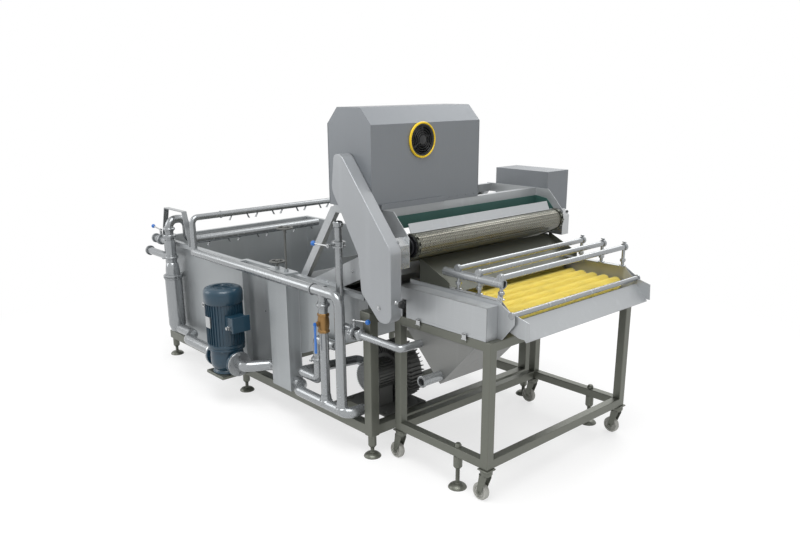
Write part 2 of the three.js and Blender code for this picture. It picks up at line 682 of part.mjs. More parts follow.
// Chamfered bearing boxes of the head drum, outside the elevator's side plates
function headBearing(y) {
  const right = drumX + elevator.noseAhead;
  const left = right - headBox.length;
  const low = drumZ - headBox.below;
  const high = drumZ + headBox.above;
  const block = plateXZ([
    [left, low], [right, low], [right, high - headBox.chamfer], [right - headBox.chamfer, high],
    [left, high],
  ], y);
  return cut(block, [rodY(drumX, [y[0] - over, y[1] + over], drumZ, boreRadius(drum.shaftRadius, headBox.bore))]);
}

add('head_bearing_near', headBearing([plateNear - seat - headBox.depth, plateNear - seat]), brightStainless);
add('head_bearing_far', headBearing([plateFar + sheet + seat, plateFar + sheet + seat + headBox.depth]),
  brightStainless);

// Rubber skirt under the cross beam, folded forward along both side plates
function exitSkirt() {
  const rearX = drumX - elevator.beamFront + seat;
  const near = plateNear + sheet + seat;
  const far = plateFar - seat;
  const low = drumZ + skirt.rise;
  const high = low + skirt.drop;
  const crossLow = drumZ + skirt.crossRise;
  return join([
    box([rearX, rearX + skirt.length], [near, near + skirt.thickness], [low, high]),
    box([rearX, rearX + skirt.length], [far - skirt.thickness, far], [low, high]),
    box([rearX, rearX + skirt.thickness], [near, far], [crossLow, high]),
  ]);
}

add('exit_skirt', exitSkirt(), rubberTeal);

// Slide from the head drum to the first brushes, on the side plates' top edges
function transitionSlide() {
  const rear = drumX - slide.rear;
  const foot = plateTop + seat;
  const cheek = (y) => plateXZ([
    [rear, foot], [rear + slide.length, foot], [rear + slide.length, foot + slide.frontRise],
    [rear, foot + slide.rise],
  ], y);
  const top = [drumX - slide.sheetRear, foot + slide.sheetTop];
  const end = [drumX + slide.sheetEnd, foot - slide.sheetDrop];
  const deck = plateXZ([top, [top[0], top[1] - sheet], [end[0], end[1] - sheet], end],
    [nearPlate + sheet / 2, farPlate + sheet / 2]);
  const shelf = (y) => box([rear + sheet, rear + slide.length / 2], y, [foot, foot + sheet]);
  const nearLip = [nearPlate, nearPlate + table.lip + seat];
  const farLip = [farPlate + sheet - table.lip - seat, farPlate + sheet];
  const notch = (y) => box([rear, end[0] + over], y, [end[1] - sheet - over, foot]);
  return cut(join([
    cheek([nearPlate, nearPlate + sheet]), cheek([farPlate, farPlate + sheet]), deck,
    shelf(nearLip), shelf(farLip),
  ]), [notch(nearLip), notch(farLip)]);
}

add('transition_slide', transitionSlide(), stainless);

// Chain guard: a rounded hollow case over the drive chains, bored where the shafts enter
const guardFront = drumX + guard.frontX;

function roundedOutline(corners, steps) {
  const points = [];
  corners.forEach(([x, z, radius], index) => {
    const before = corners[(index + corners.length - 1) % corners.length];
    const after = corners[(index + 1) % corners.length];
    const corner = new THREE.Vector2(x, z);
    const into = corner.clone().sub(new THREE.Vector2(before[0], before[1])).normalize();
    const out = new THREE.Vector2(after[0], after[1]).sub(corner).normalize();
    const turn = Math.atan2(into.cross(out), into.dot(out));
    const reach = radius * Math.tan(Math.abs(turn) / 2);
    const start = corner.clone().addScaledVector(into, -reach);
    const side = new THREE.Vector2(-into.y, into.x).multiplyScalar(Math.sign(turn) * radius);
    const centre = start.clone().add(side);
    for (let step = 0; step <= steps; step += 1) {
      const place = start.clone().rotateAround(centre, (turn * step) / steps);
      points.push([place.x, place.y]);
    }
  });
  return points;
}

function guardOutline(inset) {
  const round = (radius) => radius - inset;
  const bend = (radius) => radius + inset;
  return roundedOutline([
    [lastRollerX - guard.bottomBack + inset / 2, rollerZ - guard.bottomDrop + inset, round(guard.bottomRound)],
    [guardFront - inset, rollerZ - guard.bottomDrop + inset, round(guard.bottomRound)],
    [guardFront - inset, drumZ + guard.shoulderRise, round(guard.kneeRound)],
    [gearX - guard.topIn - inset / 2, gearZ + guard.topOver - inset, round(guard.topFrontRound)],
    [gearX - guard.topHalf + inset, gearZ + guard.topOver - inset, round(guard.topRound)],
    [gearX - guard.backBehind + inset, gearZ - guard.backDrop, round(guard.kneeRound)],
    [drumX - guard.hipBack + inset, drumZ - guard.hipDrop, bend(guard.kneeRound)],
    [lastRollerX - guard.rearBack + inset, rollerZ + guard.rearRise + inset / 2, round(guard.rearRound)],
  ], 3);
}

function chainGuard() {
  const y = [guardFar - guard.depth, guardFar];
  const behind = [guardFar - sheet - over, guardFar + over];
  const shell = plateXZ(guardOutline(0), y);
  const bolt = rodY(lastRollerX, [y[0] - guard.boltDepth, y[0] + sheet / 2], rollerZ, guard.boltRadius, 6);
  return cut(join([shell, bolt]), [
    plateXZ(guardOutline(sheet), [y[0] + sheet, y[1] - sheet]),
    rodY(drumX, behind, drumZ, drum.shaftRadius + guard.boreGap),
    rodY(lastRollerX, behind, rollerZ, brush.shaftRadius + guard.boreGap),
    rodY(gearX, behind, gearZ, gearmotor.shaftRadius + guard.boreGap),
  ]);
}

add('chain_guard', chainGuard(), stainless);

// Knob on the guard's front edge
const knobY = guardFar - guard.depth / 2;
const knobZ = rollerZ + guard.knobRise;

function guardKnob() {
  const start = guardFront + seat;
  const cap = start + guard.neckLength;
  return join([
    rodX([start, cap + over], knobY, knobZ, guard.neckRadius),
    rodX([cap, cap + guard.knobDepth], knobY, knobZ, guard.knobRadius, 12),
  ]);
}

add('guard_knob', guardKnob(), blackPlastic);

// Gearmotor inside the housing's near end: gearbox, motor and output shaft with its sprocket
function gearMotor() {
  const half = gearmotor.boxSide / 2;
  const boxY = [hoodNear + thinSheet + seat, hoodNear + thinSheet + seat + gearmotor.boxDepth];
  return join([
    box([gearX - half, gearX + half], boxY, [gearZ - half, gearZ + half]),
    rodY(gearX, [boxY[1] - over, boxY[1] + gearmotor.motorLength], gearZ + gearmotor.motorRise,
      gearmotor.motorRadius, 12),
    rodY(gearX, [upperChainY - chain.width, boxY[0] + over], gearZ, gearmotor.shaftRadius),
    sprocket(gearX, upperChainY, gearZ, chain.sprocketRadius, chain.width),
  ]);
}

add('gearmotor', gearMotor(), pumpBlue);

// Fan housing over the belt: thin sheet, open below, with shoulders and a round port
const hoodBottom = beamZ + seat;
const hoodFar = hoodNear + hood.length;
const portY = hoodNear + hood.portAlong;
const portZ = hoodBottom + hood.portRise;

function hoodOutline(inset, bottom) {
  const left = hoodFront - hood.width + inset;
  const right = hoodFront - inset;
  const side = hoodBottom + hood.height;
  const top = side + hood.shoulder - inset;
  return [
    [left, bottom], [right, bottom], [right, side], [right - hood.shoulderInset, top],
    [left + hood.shoulderInset, top], [left, side],
  ];
}

function hoodShell() {
  const lipY = [hoodNear + hood.lipInset, hoodNear + hood.lipInset + hood.lipLength];
  return cut(join([
    plateXZ(hoodOutline(0, hoodBottom), [hoodNear, hoodFar]),
    box([hoodFront - thinSheet / 2, hoodFront + hood.lipDepth], lipY,
      [hoodBottom, hoodBottom + hood.lipHeight]),
  ]), [
    plateXZ(hoodOutline(thinSheet, hoodBottom - over), [hoodNear + thinSheet, hoodFar - thinSheet]),
    rodX([hoodFront - thinSheet - over, hoodFront + over], portY, portZ, hood.portRadius, 20),
    rodY(gearX, [hoodNear - over, hoodNear + thinSheet + over], gearZ,
      gearmotor.shaftRadius + guard.boreGap),
  ]);
}

add('hood_shell', hoodShell(), castGrey);

// Yellow port ring with its arms, hub and axle, and the fan behind it
function fanRing() {
  const x = [hoodFront + seat, hoodFront + seat + fan.ringDepth];
  const armX = [x[0], x[0] + fan.armDepth];
  const ring = cut(rodX(x, portY, portZ, fan.ringOuter, 20),
    [rodX([x[0] - over, x[1] + over], portY, portZ, fan.ringInner, 20)]);
  const pieces = [ring];
  for (let index = 0; index < fan.arms; index += 1) {
    const reach = (fan.ringInner + fan.ringOuter) / 2;
    const arm = box(armX, [0, reach], [-fan.armWidth / 2, fan.armWidth / 2]);
    pieces.push(arm.rotateX((2 * Math.PI * index) / fan.arms + Math.PI / 2).translate(0, portY, portZ));
  }
  pieces.push(rodX(armX, portY, portZ, fan.capRadius, 12));
  pieces.push(rodX([hoodFront - thinSheet - fan.setBack - fan.hubDepth - over, armX[1]], portY, portZ,
    fan.axleRadius));
  return join(pieces);
}

function hoodFan() {
  const front = hoodFront - thinSheet - fan.setBack;
  const hub = [front - fan.hubDepth, front];
  const middle = (hub[0] + hub[1]) / 2;
  const pieces = [rodX(hub, portY, portZ, fan.hubRadius, 12)];
  for (let index = 0; index < fan.blades; index += 1) {
    const blade = box([-fan.bladeThick / 2, fan.bladeThick / 2], [-fan.bladeWidth / 2, fan.bladeWidth / 2],
      [fan.hubRadius / 2, fan.bladeRadius]);
    blade.rotateZ(fan.bladeTurn).rotateX((2 * Math.PI * index) / fan.blades);
    pieces.push(blade.translate(middle, portY, portZ));
  }
  return cut(join(pieces), [rodX([hub[0] - over, hub[1] + over], portY, portZ,
    fan.axleRadius + fan.axleGap)]);
}

add('fan_ring', fanRing(), warningYellow);
add('hood_fan', hoodFan(), blackPlastic);

// Control cabinet on the far side, its inner plate with blocks, and the hinged door
const cabinetX = [drumX - cabinet.behind - cabinet.length, drumX - cabinet.behind];
const cabinetBack = plateFar + sheet + seat;
const cabinetY = [cabinetBack, cabinetBack + cabinet.depth];
const cabinetZ = [drumZ + cabinet.rise, drumZ + cabinet.rise + cabinet.height];

function controlCabinet() {
  const inner = (range) => [range[0] + thinSheet, range[1] - thinSheet];
  const boardY = [cabinetY[0] + thinSheet / 2, cabinetY[0] + cabinet.boardGap];
  const board = box([cabinetX[0] + cabinet.boardInset, cabinetX[1] - cabinet.boardInset], boardY,
    [cabinetZ[0] + cabinet.boardInset, cabinetZ[1] - cabinet.boardInset]);
  const pieces = [
    cut(box(cabinetX, cabinetY, cabinetZ),
      [box(inner(cabinetX), [cabinetY[0] + thinSheet, cabinetY[1] + over], inner(cabinetZ))]),
    board,
  ];
  const pitch = (cabinet.length - cabinet.boardInset * 2) / cabinet.gears;
  const middleZ = (cabinetZ[0] + cabinetZ[1]) / 2;
  for (let index = 0; index < cabinet.gears; index += 1) {
    const x = cabinetX[0] + cabinet.boardInset + (index + 1 / 2) * pitch;
    pieces.push(box([x - cabinet.gearSide / 2, x + cabinet.gearSide / 2],
      [boardY[1] - sheet, boardY[1] + cabinet.gearDepth], [middleZ - cabinet.gearSide / 2, middleZ + cabinet.gearSide]));
  }
  return join(pieces);
}

function cabinetDoor() {
  const y = [cabinetY[1] + seat, cabinetY[1] + seat + cabinet.door];
  const middleZ = (cabinetZ[0] + cabinetZ[1]) / 2;
  const handleX = cabinetX[1] - cabinet.handleInset;
  return join([
    box(cabinetX, y, cabinetZ),
    box([handleX - cabinet.handleWidth / 2, handleX + cabinet.handleWidth / 2],
      [y[1] - over, y[1] + cabinet.handle],
      [middleZ - cabinet.handleHeight / 2, middleZ + cabinet.handleHeight / 2]),
  ]);
}

add('control_cabinet', controlCabinet(), stainless);
add('cabinet_door', cabinetDoor(), stainless);

// Cart: corner legs, two frames of rails, caster plates, latch lugs and two levelling feet
const cartX = [-cartLength, 0];
const cartY = [0, cart.width];
const latchX = [-latch.fromFront - latch.spacing, -latch.fromFront];
const latchPivotZ = cartTop - latch.pivotDrop;

function casterPlaces() {
  const half = cart.tube / 2;
  return [-half, -cartLength + half].flatMap((x) => [half, cart.width - half].map((y) => [x, y]));
}

function cartFrame() {
  const tube = cart.tube;
  const lowZ = [cart.railBottom, cart.railBottom + tube];
  const highZ = [cart.topRailBottom, cartTop];
  const pieces = [];
  for (const z of [lowZ, highZ]) {
    pieces.push(box(cartX, [cartY[0], cartY[0] + tube], z));
    pieces.push(box(cartX, [cartY[1] - tube, cartY[1]], z));
    pieces.push(box([cartX[0], cartX[0] + tube], cartY, z));
    pieces.push(box([cartX[1] - tube, cartX[1]], cartY, z));
  }
  for (const [x, y] of casterPlaces()) {
    const half = caster.plateSide / 2;
    pieces.push(box([x - tube / 2, x + tube / 2], [y - tube / 2, y + tube / 2], [lowZ[0], highZ[1]]));
    pieces.push(box([x - half, x + half], [y - half, y + half], [lowZ[0] - caster.plate, lowZ[0] + seat]));
  }
  for (const y of [tube / 2, cart.width - tube / 2]) {
    pieces.push(levelFoot(-foot.cartInset, y, cart.railBottom));
  }
  for (const x of latchX) {
    pieces.push(box([x - cart.lugWidth / 2, x + cart.lugWidth / 2], [-latch.lugDepth, over],
      [latchPivotZ - cart.lugHeight / 4, latchPivotZ + (cart.lugHeight * 3) / 4]));
  }
  return join(pieces);
}

add('cart_frame', cartFrame(), stainless);

// Casters: a swivelling fork with its axle under each corner, and its wheel
function casterFork([x, y]) {
  const top = cart.railBottom - caster.plate - seat;
  const crownBottom = top - caster.crown;
  const axleX = x - caster.trail;
  const axleZ = caster.wheelRadius;
  const inner = caster.wheelWidth / 2 + caster.cheekGap;
  const reach = caster.hubRadius + caster.cheek;
  const cheek = (side) => plateXZ([
    [axleX - reach, axleZ - reach], [axleX + reach, axleZ - reach],
    [x + caster.crownRadius / 2, crownBottom + caster.crown / 2],
    [x - caster.crownRadius, crownBottom + caster.crown / 2],
  ], side);
  return join([
    rodZ(x, y, [crownBottom, top], caster.crownRadius, 12),
    cheek([y - inner - caster.cheek, y - inner]), cheek([y + inner, y + inner + caster.cheek]),
    box([x - caster.crownRadius, x + caster.crownRadius / 2],
      [y - inner - caster.cheek, y + inner + caster.cheek], [crownBottom, crownBottom + caster.crown / 2]),
    rodY(axleX, [y - inner - caster.cheek, y + inner + caster.cheek], axleZ, caster.axleRadius, 8),
  ]);
}

function casterWheel([x, y]) {
  const half = caster.wheelWidth / 2;
  const bore = caster.axleRadius + seat;
  const radius = caster.wheelRadius;
  return turnedY([
    [bore, -half], [radius - caster.tyreRound, -half], [radius, -half + caster.tyreRound],
    [radius, half - caster.tyreRound], [radius - caster.tyreRound, half], [bore, half], [bore, -half],
  ], 12, 0, 0).translate(x - caster.trail, y, radius);
}

casterPlaces().forEach((place, index) => {
  add(`caster_fork_${index + 1}`, casterFork(place), darkStainless);
  add(`caster_wheel_${index + 1}`, casterWheel(place), wheelGrey);
});

// Brush side plates with their flange bearings and the tie bar across the front
function rollerX(index) {
  return -(brush.firstInset + index * brush.pitch);
}

function sidePlate(y) {
  const left = lastRollerX - table.rearMargin;
  const noseTop = plateTop - table.noseDrop;
  return plateXZ([
    [left, cartTop + seat], [0, cartTop + seat], [table.noseLength, noseTop - table.noseHeight],
    [table.noseLength, noseTop], [-table.lip, plateTop], [left, plateTop],
  ], y);
}

const barX = table.noseLength - table.barInset;
const barZ = plateTop - table.noseDrop + table.barAbove;

function brushSidePlates() {
  const left = lastRollerX - table.rearMargin;
  const flangeX = [left, -table.lip];
  const flangeZ = [plateTop - sheet, plateTop];
  const footZ = [cartTop + seat, cartTop + seat + sheet];
  const across = [nearPlate - seat - bearing.depth - over, farPlate + sheet + seat + bearing.depth + over];
  const half = bearing.side / 2;
  const pieces = [
    sidePlate([nearPlate, nearPlate + sheet]), sidePlate([farPlate, farPlate + sheet]),
    box(flangeX, [nearPlate, nearPlate + table.lip], flangeZ),
    box(flangeX, [farPlate + sheet - table.lip, farPlate + sheet], flangeZ),
    box([left, 0], [farPlate, cart.width], footZ),
    rodY(barX, [nearPlate, farPlate + sheet], barZ, table.barRadius),
  ];
  const bores = [];
  for (let index = 0; index < brush.count; index += 1) {
    const x = rollerX(index);
    const z = [rollerZ - half, rollerZ + half];
    pieces.push(box([x - half, x + half], [nearPlate - bearing.depth, nearPlate + seat], z));
    pieces.push(box([x - half, x + half], [farPlate + sheet - seat, farPlate + sheet + bearing.depth], z));
    bores.push(rodY(x, across, rollerZ, boreRadius(brush.shaftRadius, seat, bearing.boreSides), bearing.boreSides));
  }
  return cut(join(pieces), bores);
}

add('brush_side_plates', brushSidePlates(), stainless);

// Brush rollers: backing, shaft, sprocket and, on the first ones, the separate strands
function strand(backing, along, angle) {
  const length = brush.radius - backing + seat;
  const spike = new THREE.ConeGeometry(brush.strandRadius, length, 3);
  spike.rotateX(Math.PI / 2).translate(0, along, backing - seat + length / 2);
  return spike.rotateY(angle);
}

function brushRoller(index) {
  const x = rollerX(index);
  const withStrands = index < brush.strandRollers;
  const last = index === brush.count - 1;
  const sides = brush.strandsRound * 2;
  const brushY = [nearPlate + sheet + brush.endGap, farPlate - brush.endGap];
  const backing = brush.backingRadius;
  const nearEnd = last ? lowerChainY - chain.width : brush.shaftInset;
  const turn = Math.PI / sides;
  const pieces = [
    withStrands ? rodY(0, brushY, 0, backing / Math.cos(turn), sides).rotateY(turn) : rodY(0, brushY, 0, brush.radius),
    rodY(0, [nearEnd, farPlate + sheet + brush.farStub], 0, brush.shaftRadius, 8),
    sprocket(0, brush.sprocketInset + brush.sprocketWidth / 2, 0, brush.sprocketRadius, brush.sprocketWidth),
  ];
  if (last) {
    pieces.push(sprocket(0, lowerChainY, 0, chain.sprocketRadius, chain.width));
  }
  if (withStrands) {
    const step = (brushY[1] - brushY[0]) / brush.strandRows;
    for (let row = 0; row < brush.strandRows; row += 1) {
      for (let place = 0; place < brush.strandsRound; place += 1) {
        const angle = (2 * Math.PI * (place * 2 + (row % 2))) / sides;
        pieces.push(strand(backing, brushY[0] + (row + 1 / 2) * step, angle));
      }
    }
  }
  return join(pieces).translate(x, 0, rollerZ);
}

for (let index = 0; index < brush.count; index += 1) {
  add(`brush_roller_${index + 1}`, brushRoller(index), brushYellow);
}

// Chain round the eight roller sprockets
function tableChain() {
  const inner = brush.sprocketRadius / Math.cos(Math.PI / (2 * chain.steps)) + seat;
  const y = [brush.sprocketInset, brush.sprocketInset + brush.sprocketWidth];
  const ends = [[lastRollerX, rollerZ], [rollerX(0), rollerZ]];
  return plateXZ(loopOutline(ends[0], ends[1], inner + chain.thickness, chain.steps), y,
    [loopOutline(ends[0], ends[1], inner, chain.steps)]);
}

add('table_chain', tableChain(), darkStainless);

// Drive cover over the roller chain, open below and behind, and its two latches
function driveCover() {
  const x = [lastRollerX - cover.endMargin, -cover.frontMargin];
  const y = [0, nearPlate - seat];
  const z = [cartTop + seat, cartTop + seat + cover.height];
  const slot = brush.shaftRadius + cover.slotGap;
  return cut(box(x, y, z), [
    box([x[0] + thinSheet, x[1] - thinSheet], [y[0] + thinSheet, y[1] + over], [z[0] - over, z[1] - thinSheet]),
    box([lastRollerX - slot, lastRollerX + slot], [y[0] - over, y[0] + thinSheet + over],
      [z[0] - over, rollerZ + slot]),
  ]);
}

function coverLatch(x) {
  const outer = -latch.standOff - latch.thickness;
  const z = [latchPivotZ - latch.pivotOverhang, latchPivotZ + latch.height];
  const range = [x - latch.width / 2, x + latch.width / 2];
  return join([
    box(range, [outer, -latch.standOff], z),
    box(range, [outer, -seat], [z[1] - latch.hook, z[1]]),
  ]);
}

add('drive_cover', driveCover(), stainless);
latchX.forEach((x, index) => add(`cover_latch_${index + 1}`, coverLatch(x), brightStainless));

// Discharge chute hung on the tie bar
function dischargeChute() {
  const side = (y) => plateXZ([
    [-chute.rearX, plateTop + seat], [chute.crestX, plateTop - chute.crestDrop],
    [chute.tipX, plateTop - chute.tipDrop], [chute.toeX, plateTop - chute.toeDrop],
    [chute.heelX, plateTop - chute.toeDrop], [-chute.rearX, plateTop - chute.rearDrop],
  ], y);
  const near = nearPlate + sheet + chute.inset;
  const far = farPlate - chute.inset;
  const deck = plateXZ([
    [chute.plateX, plateTop - chute.plateDrop], [chute.lipX, plateTop - chute.lipDrop],
    [chute.lipX, plateTop - chute.lipDrop - sheet], [chute.plateX, plateTop - chute.plateDrop - sheet],
  ], [near, far]);
  return cut(join([side([near, near + sheet]), side([far - sheet, far]), deck]),
    [rodY(barX, [near - over, far + over], barZ, table.barRadius + chute.barGap)]);
}

add('discharge_chute', dischargeChute(), stainless);

// Drip pan inside the cart's top frame, with the funnel and drain stub below it
function hopperOutline(inset, top) {
  const left = -cartLength + hopper.leftInset;
  const right = -hopper.rightInset;
  const low = cart.topRailBottom - hopper.depth;
  const apex = -hopper.apexFromFront;
  const slope = (corner) => inset * Math.hypot(corner - apex, hopper.depth) / hopper.depth;
  const shift = (corner) => ((top - cart.topRailBottom) * (corner - apex)) / hopper.depth;
  return [
    [left + shift(left) + slope(left), top], [apex, low + inset * (1 + hopper.depth / (right - left))],
    [right + shift(right) - slope(right), top],
  ];
}

function waterHopper() {
  const tube = cart.tube + seat;
  const panX = [-cartLength + tube, -tube];
  const panY = [tube, cart.width - tube];
  const floorZ = [cart.topRailBottom - seat - sheet, cart.topRailBottom - seat];
  const funnelY = [hopper.nearInset, hopper.farEnd];
  const stubZ = cart.topRailBottom - hopper.depth + hopper.stubRise;
  const apex = -hopper.apexFromFront;
  const pan = box(panX, panY, [floorZ[0], cart.topRailBottom + hopper.panRise]);
  const room = box([panX[0] + sheet, panX[1] - sheet], [panY[0] + sheet, panY[1] - sheet],
    [floorZ[1], cartTop + over]);
  const body = join([
    pan, box(panX, [funnelY[0], panY[0] + over], floorZ), plateXZ(hopperOutline(0, floorZ[1]), funnelY),
    rodY(apex, [-hopper.stubEnd, funnelY[0] + sheet / 2], stubZ, hopper.stubRadius, 12),
    rodY(apex, [-hopper.stubEnd, -hopper.stubEnd + hopper.rimWidth], stubZ,
      hopper.stubRadius + hopper.rim, 12),
  ]);
  return cut(body, [
    room,
    plateXZ(hopperOutline(sheet, floorZ[1] + over), [panY[0] + sheet, funnelY[1] - sheet]),
    plateXZ(hopperOutline(sheet, floorZ[0]), [funnelY[0] + sheet, panY[0] + sheet + over]),
    rodY(apex, [-hopper.stubEnd - over, funnelY[0] + sheet + over], stubZ,
      hopper.stubRadius - hopper.stubWall, 12),
  ]);
}

add('water_hopper', waterHopper(), stainless);

// Spray manifold over the brushes: header, cross pipes with end caps, and posts with round feet
function sprayManifold() {
  const nearY = nearPlate + manifold.nearInset;
  const farY = farPlate + sheet - manifold.farInset;
  const foot = plateTop + seat;
  const headerZ = plateTop + manifold.headerRise;
  const crossZ = plateTop + manifold.crossRise;
  const lastX = -manifold.firstInset - (manifold.runs - 1) * manifold.spacing;
  const pieces = [rodX([lastX - manifold.tail, -manifold.firstInset + manifold.frontTail], nearY, headerZ,
    manifold.headerRadius, 8)];
  for (let index = 0; index < manifold.runs; index += 1) {
    const x = -manifold.firstInset - index * manifold.spacing;
    pieces.push(rodY(x, [nearY - manifold.overhang, farY + manifold.overhang], crossZ, manifold.crossRadius, 8));
    for (const y of [nearY, farY]) {
      pieces.push(rodZ(x, y, [foot, crossZ], manifold.postRadius, 6));
      pieces.push(rodZ(x, y, [foot, foot + manifold.footHeight], manifold.footRadius, 8));
    }
    for (const end of [nearY - manifold.overhang, farY + manifold.overhang - manifold.capLength]) {
      pieces.push(rodY(x, [end, end + manifold.capLength], crossZ, manifold.capRadius, 8));
    }
  }
  return join(pieces);
}

add('spray_manifold', sprayManifold(), stainless);

// Supply pipe along the tank, its two drops, the bottom header and the upper spray pipe
function nozzle(x, y, z, radius, length, tilt) {
  const jet = new THREE.CylinderGeometry(radius, radius / 2, length, 4);
  return jet.rotateX(Math.PI / 2).translate(0, 0, -length / 2).rotateX(tilt).translate(x, y, z);
}

function nozzles(spray, x, z, first, last) {
  const jets = [];
  for (let index = 0; index < spray.nozzles; index += 1) {
    const y = first + ((last - first) * index) / (spray.nozzles - 1);
    jets.push(nozzle(x, y, z, spray.nozzleRadius, spray.nozzleLength, index % 2 ? spray.tilt : -spray.tilt));
  }
  return jets;
}

function supplyPipe() {
  const lowZ = tankFloor + header.radius + header.nut;
  const leftX = tankLeft + supply.leftIn;
  const sprayZ = pipeZ + upperSpray.rise;
  const sprayEnd = legFar - upperSpray.farGap;
  const clampX = tankFront - supply.clampX;
  const valveTop = ballValve.bottom + ballValve.height;
  const shiftX = columnRight + header.lead;
  const ring = cut(rodX([clampX, clampX + supply.clampWidth], pipeY, pipeZ, supply.radius + supply.clamp, 10),
    [rodX([clampX - over, clampX + supply.clampWidth + over], pipeY, pipeZ, supply.radius / 2, 6)]);
  return join([
    pipe([[leftX, pipeY, pipeZ], [dropX, pipeY, pipeZ], [dropX, pipeY, lowZ]], supply.radius, supply.bend),
    pipe([[columnRight + seat, columnY, lowZ], [shiftX, columnY, lowZ], [shiftX + header.shift, pipeY, lowZ],
      [dropX + header.outX, pipeY, lowZ], [dropX + header.outX, pipeY + header.outY, lowZ]],
    header.radius, header.bend),
    rodZ(ballValveX, pipeY, [lowZ, ballValve.bottom - seat], supply.radius),
    rodZ(ballValveX, pipeY, [valveTop + seat, pipeZ], supply.radius),
    rodZ(ballValveX, pipeY, [lowZ, lowZ + header.radius + header.nut], header.nutRadius, 8),
    rodZ(dropX, pipeY, [lowZ, lowZ + header.radius + header.nut], header.nutRadius, 8),
    pipe([[leftX, pipeY, pipeZ - supply.radius / 2], [leftX, pipeY, sprayZ], [leftX, sprayEnd, sprayZ]],
      upperSpray.riseRadius, upperSpray.bend),
    rodY(leftX, [sprayEnd - over, sprayEnd + upperSpray.radius], sprayZ, upperSpray.riseRadius + sheet, 8),
    ...nozzles(upperSpray, leftX, sprayZ, upperSpray.firstNozzle, sprayEnd - upperSpray.firstNozzle),
    ring,
    box([clampX, clampX + supply.clampWidth], [pipeY + supply.radius, wallNear - tank.rim - seat],
      [pipeZ - supply.clampArm / 2, pipeZ + supply.clampArm / 2]),
  ]);
}

add('supply_pipe', supplyPipe(), stainless);

// Brass ball valve in the second drop, and its lever
const leverY = pipeY - ballValve.radius - ballValve.stem;

function ballValveBody() {
  const low = ballValve.bottom;
  const high = low + ballValve.height;
  const middle = (low + high) / 2;
  return join([
    rodZ(ballValveX, pipeY, [low, high], ballValve.radius),
    rodZ(ballValveX, pipeY, [low, low + ballValve.nutHeight], ballValve.nutRadius, 6),
    rodZ(ballValveX, pipeY, [high - ballValve.nutHeight, high], ballValve.nutRadius, 6),
    rodY(ballValveX, [leverY, pipeY], middle, ballValve.stemRadius, 8),
  ]);
}

function ballValveLever() {
  const middle = ballValve.bottom + ballValve.height / 2;
  const y = [leverY - seat - ballValve.leverThick, leverY - seat];
  const half = ballValve.leverWidth / 2;
  return join([
    box([ballValveX - half, ballValveX + half], y, [middle - ballValve.leverLength, middle + half]),
    rodY(ballValveX, [y[0] - ballValve.leverThick, y[1]], middle, half, 6),
  ]);
}

add('ball_valve', ballValveBody(), brass);
add('ball_valve_lever', ballValveLever(), knobBlue);

// Butterfly valve ring, clamp collars and stem, built along Z with the stem towards +X
function valveRing() {
  const half = valve.width / 2;
  return join([
    turned([
      [0, -half - seat], [valve.radius, -half], [valve.radius, -half / 2], [valve.radius - over, -half / 4],
      [valve.radius - over, half / 4], [valve.radius, half / 2], [valve.radius, half], [0, half + seat],
    ], 10),
    rodX([0, valve.radius + valve.stem], 0, 0, valve.stemRadius, 8),
  ]);
}

// Lever with its knob, built with the stem along X and the arm along Z
function valveLever() {
  const hub = valve.radius + valve.stem + seat;
  const knob = hub + valve.hub / 2 + valve.rise;
  return join([
    rodX([hub, hub + valve.hub], 0, 0, valve.hubRadius, 10),
    pipe([[hub + valve.hub / 2, 0, valve.armStart], [knob, 0, valve.arm]], valve.armRadius, 0, 6),
    ball(knob, 0, valve.arm, valve.knobRadius),
  ]);
}

// Each valve's centre, the way its pipe runs, the way its stem points and the way its lever lies
const valves = [
  { centre: [riserX - riser.branchLength * riser.valveShare, riserY, riser.branchZ], stem: [0, 0, 1], lever: [-1, 0, 0] },
  { centre: [rinseX, rinseY, rinse.bottom + rinse.valveRise], stem: [0, -1, 0], lever: [-1, 0, 0] },
  { centre: [tankFront - rinse.thirdX, rinseOutY, rinse.bottom], stem: [0, 0, 1], lever: [1, 0, 0] },
];

function placed(geometry, centre, stem, along) {
  const out = new THREE.Vector3(...stem);
  const up = new THREE.Vector3(...along);
  const turn = new THREE.Matrix4().makeBasis(out, up.clone().cross(out), up);
  return geometry.applyMatrix4(turn).translate(...centre);
}

function valveBody({ centre, stem, lever }, along) {
  return placed(valveRing(), centre, stem, along ?? lever);
}

valves.forEach((place, index) => {
  add(`valve_lever_${index + 1}`, placed(valveLever(), place.centre, place.stem, place.lever), knobBlue);
});

// Rinse pipe: riser beside the tank, two butterfly valves and the run to the drip funnel
function rinsePipe() {
  const low = rinse.bottom;
  const jogStart = tankFront - rinse.jogX;
  const teeZ = rinse.top - rinse.teeHeight;
  return join([
    pipe([
      [rinseX, rinseY, rinse.top], [rinseX, rinseY, low], [jogStart, rinseY, low],
      [jogStart + rinse.jog, rinseOutY, low], [-rinse.hopperX, rinseOutY, low],
      [-rinse.hopperX, hopper.nearInset - seat, low],
    ], rinse.radius, rinse.jogBend),
    rodZ(rinseX, rinseY, [teeZ, rinse.top + seat], rinse.tee),
    valveBody(valves[1], [0, 0, 1]), valveBody(valves[2]),
  ]);
}

add('rinse_pipe', rinsePipe(), stainless);

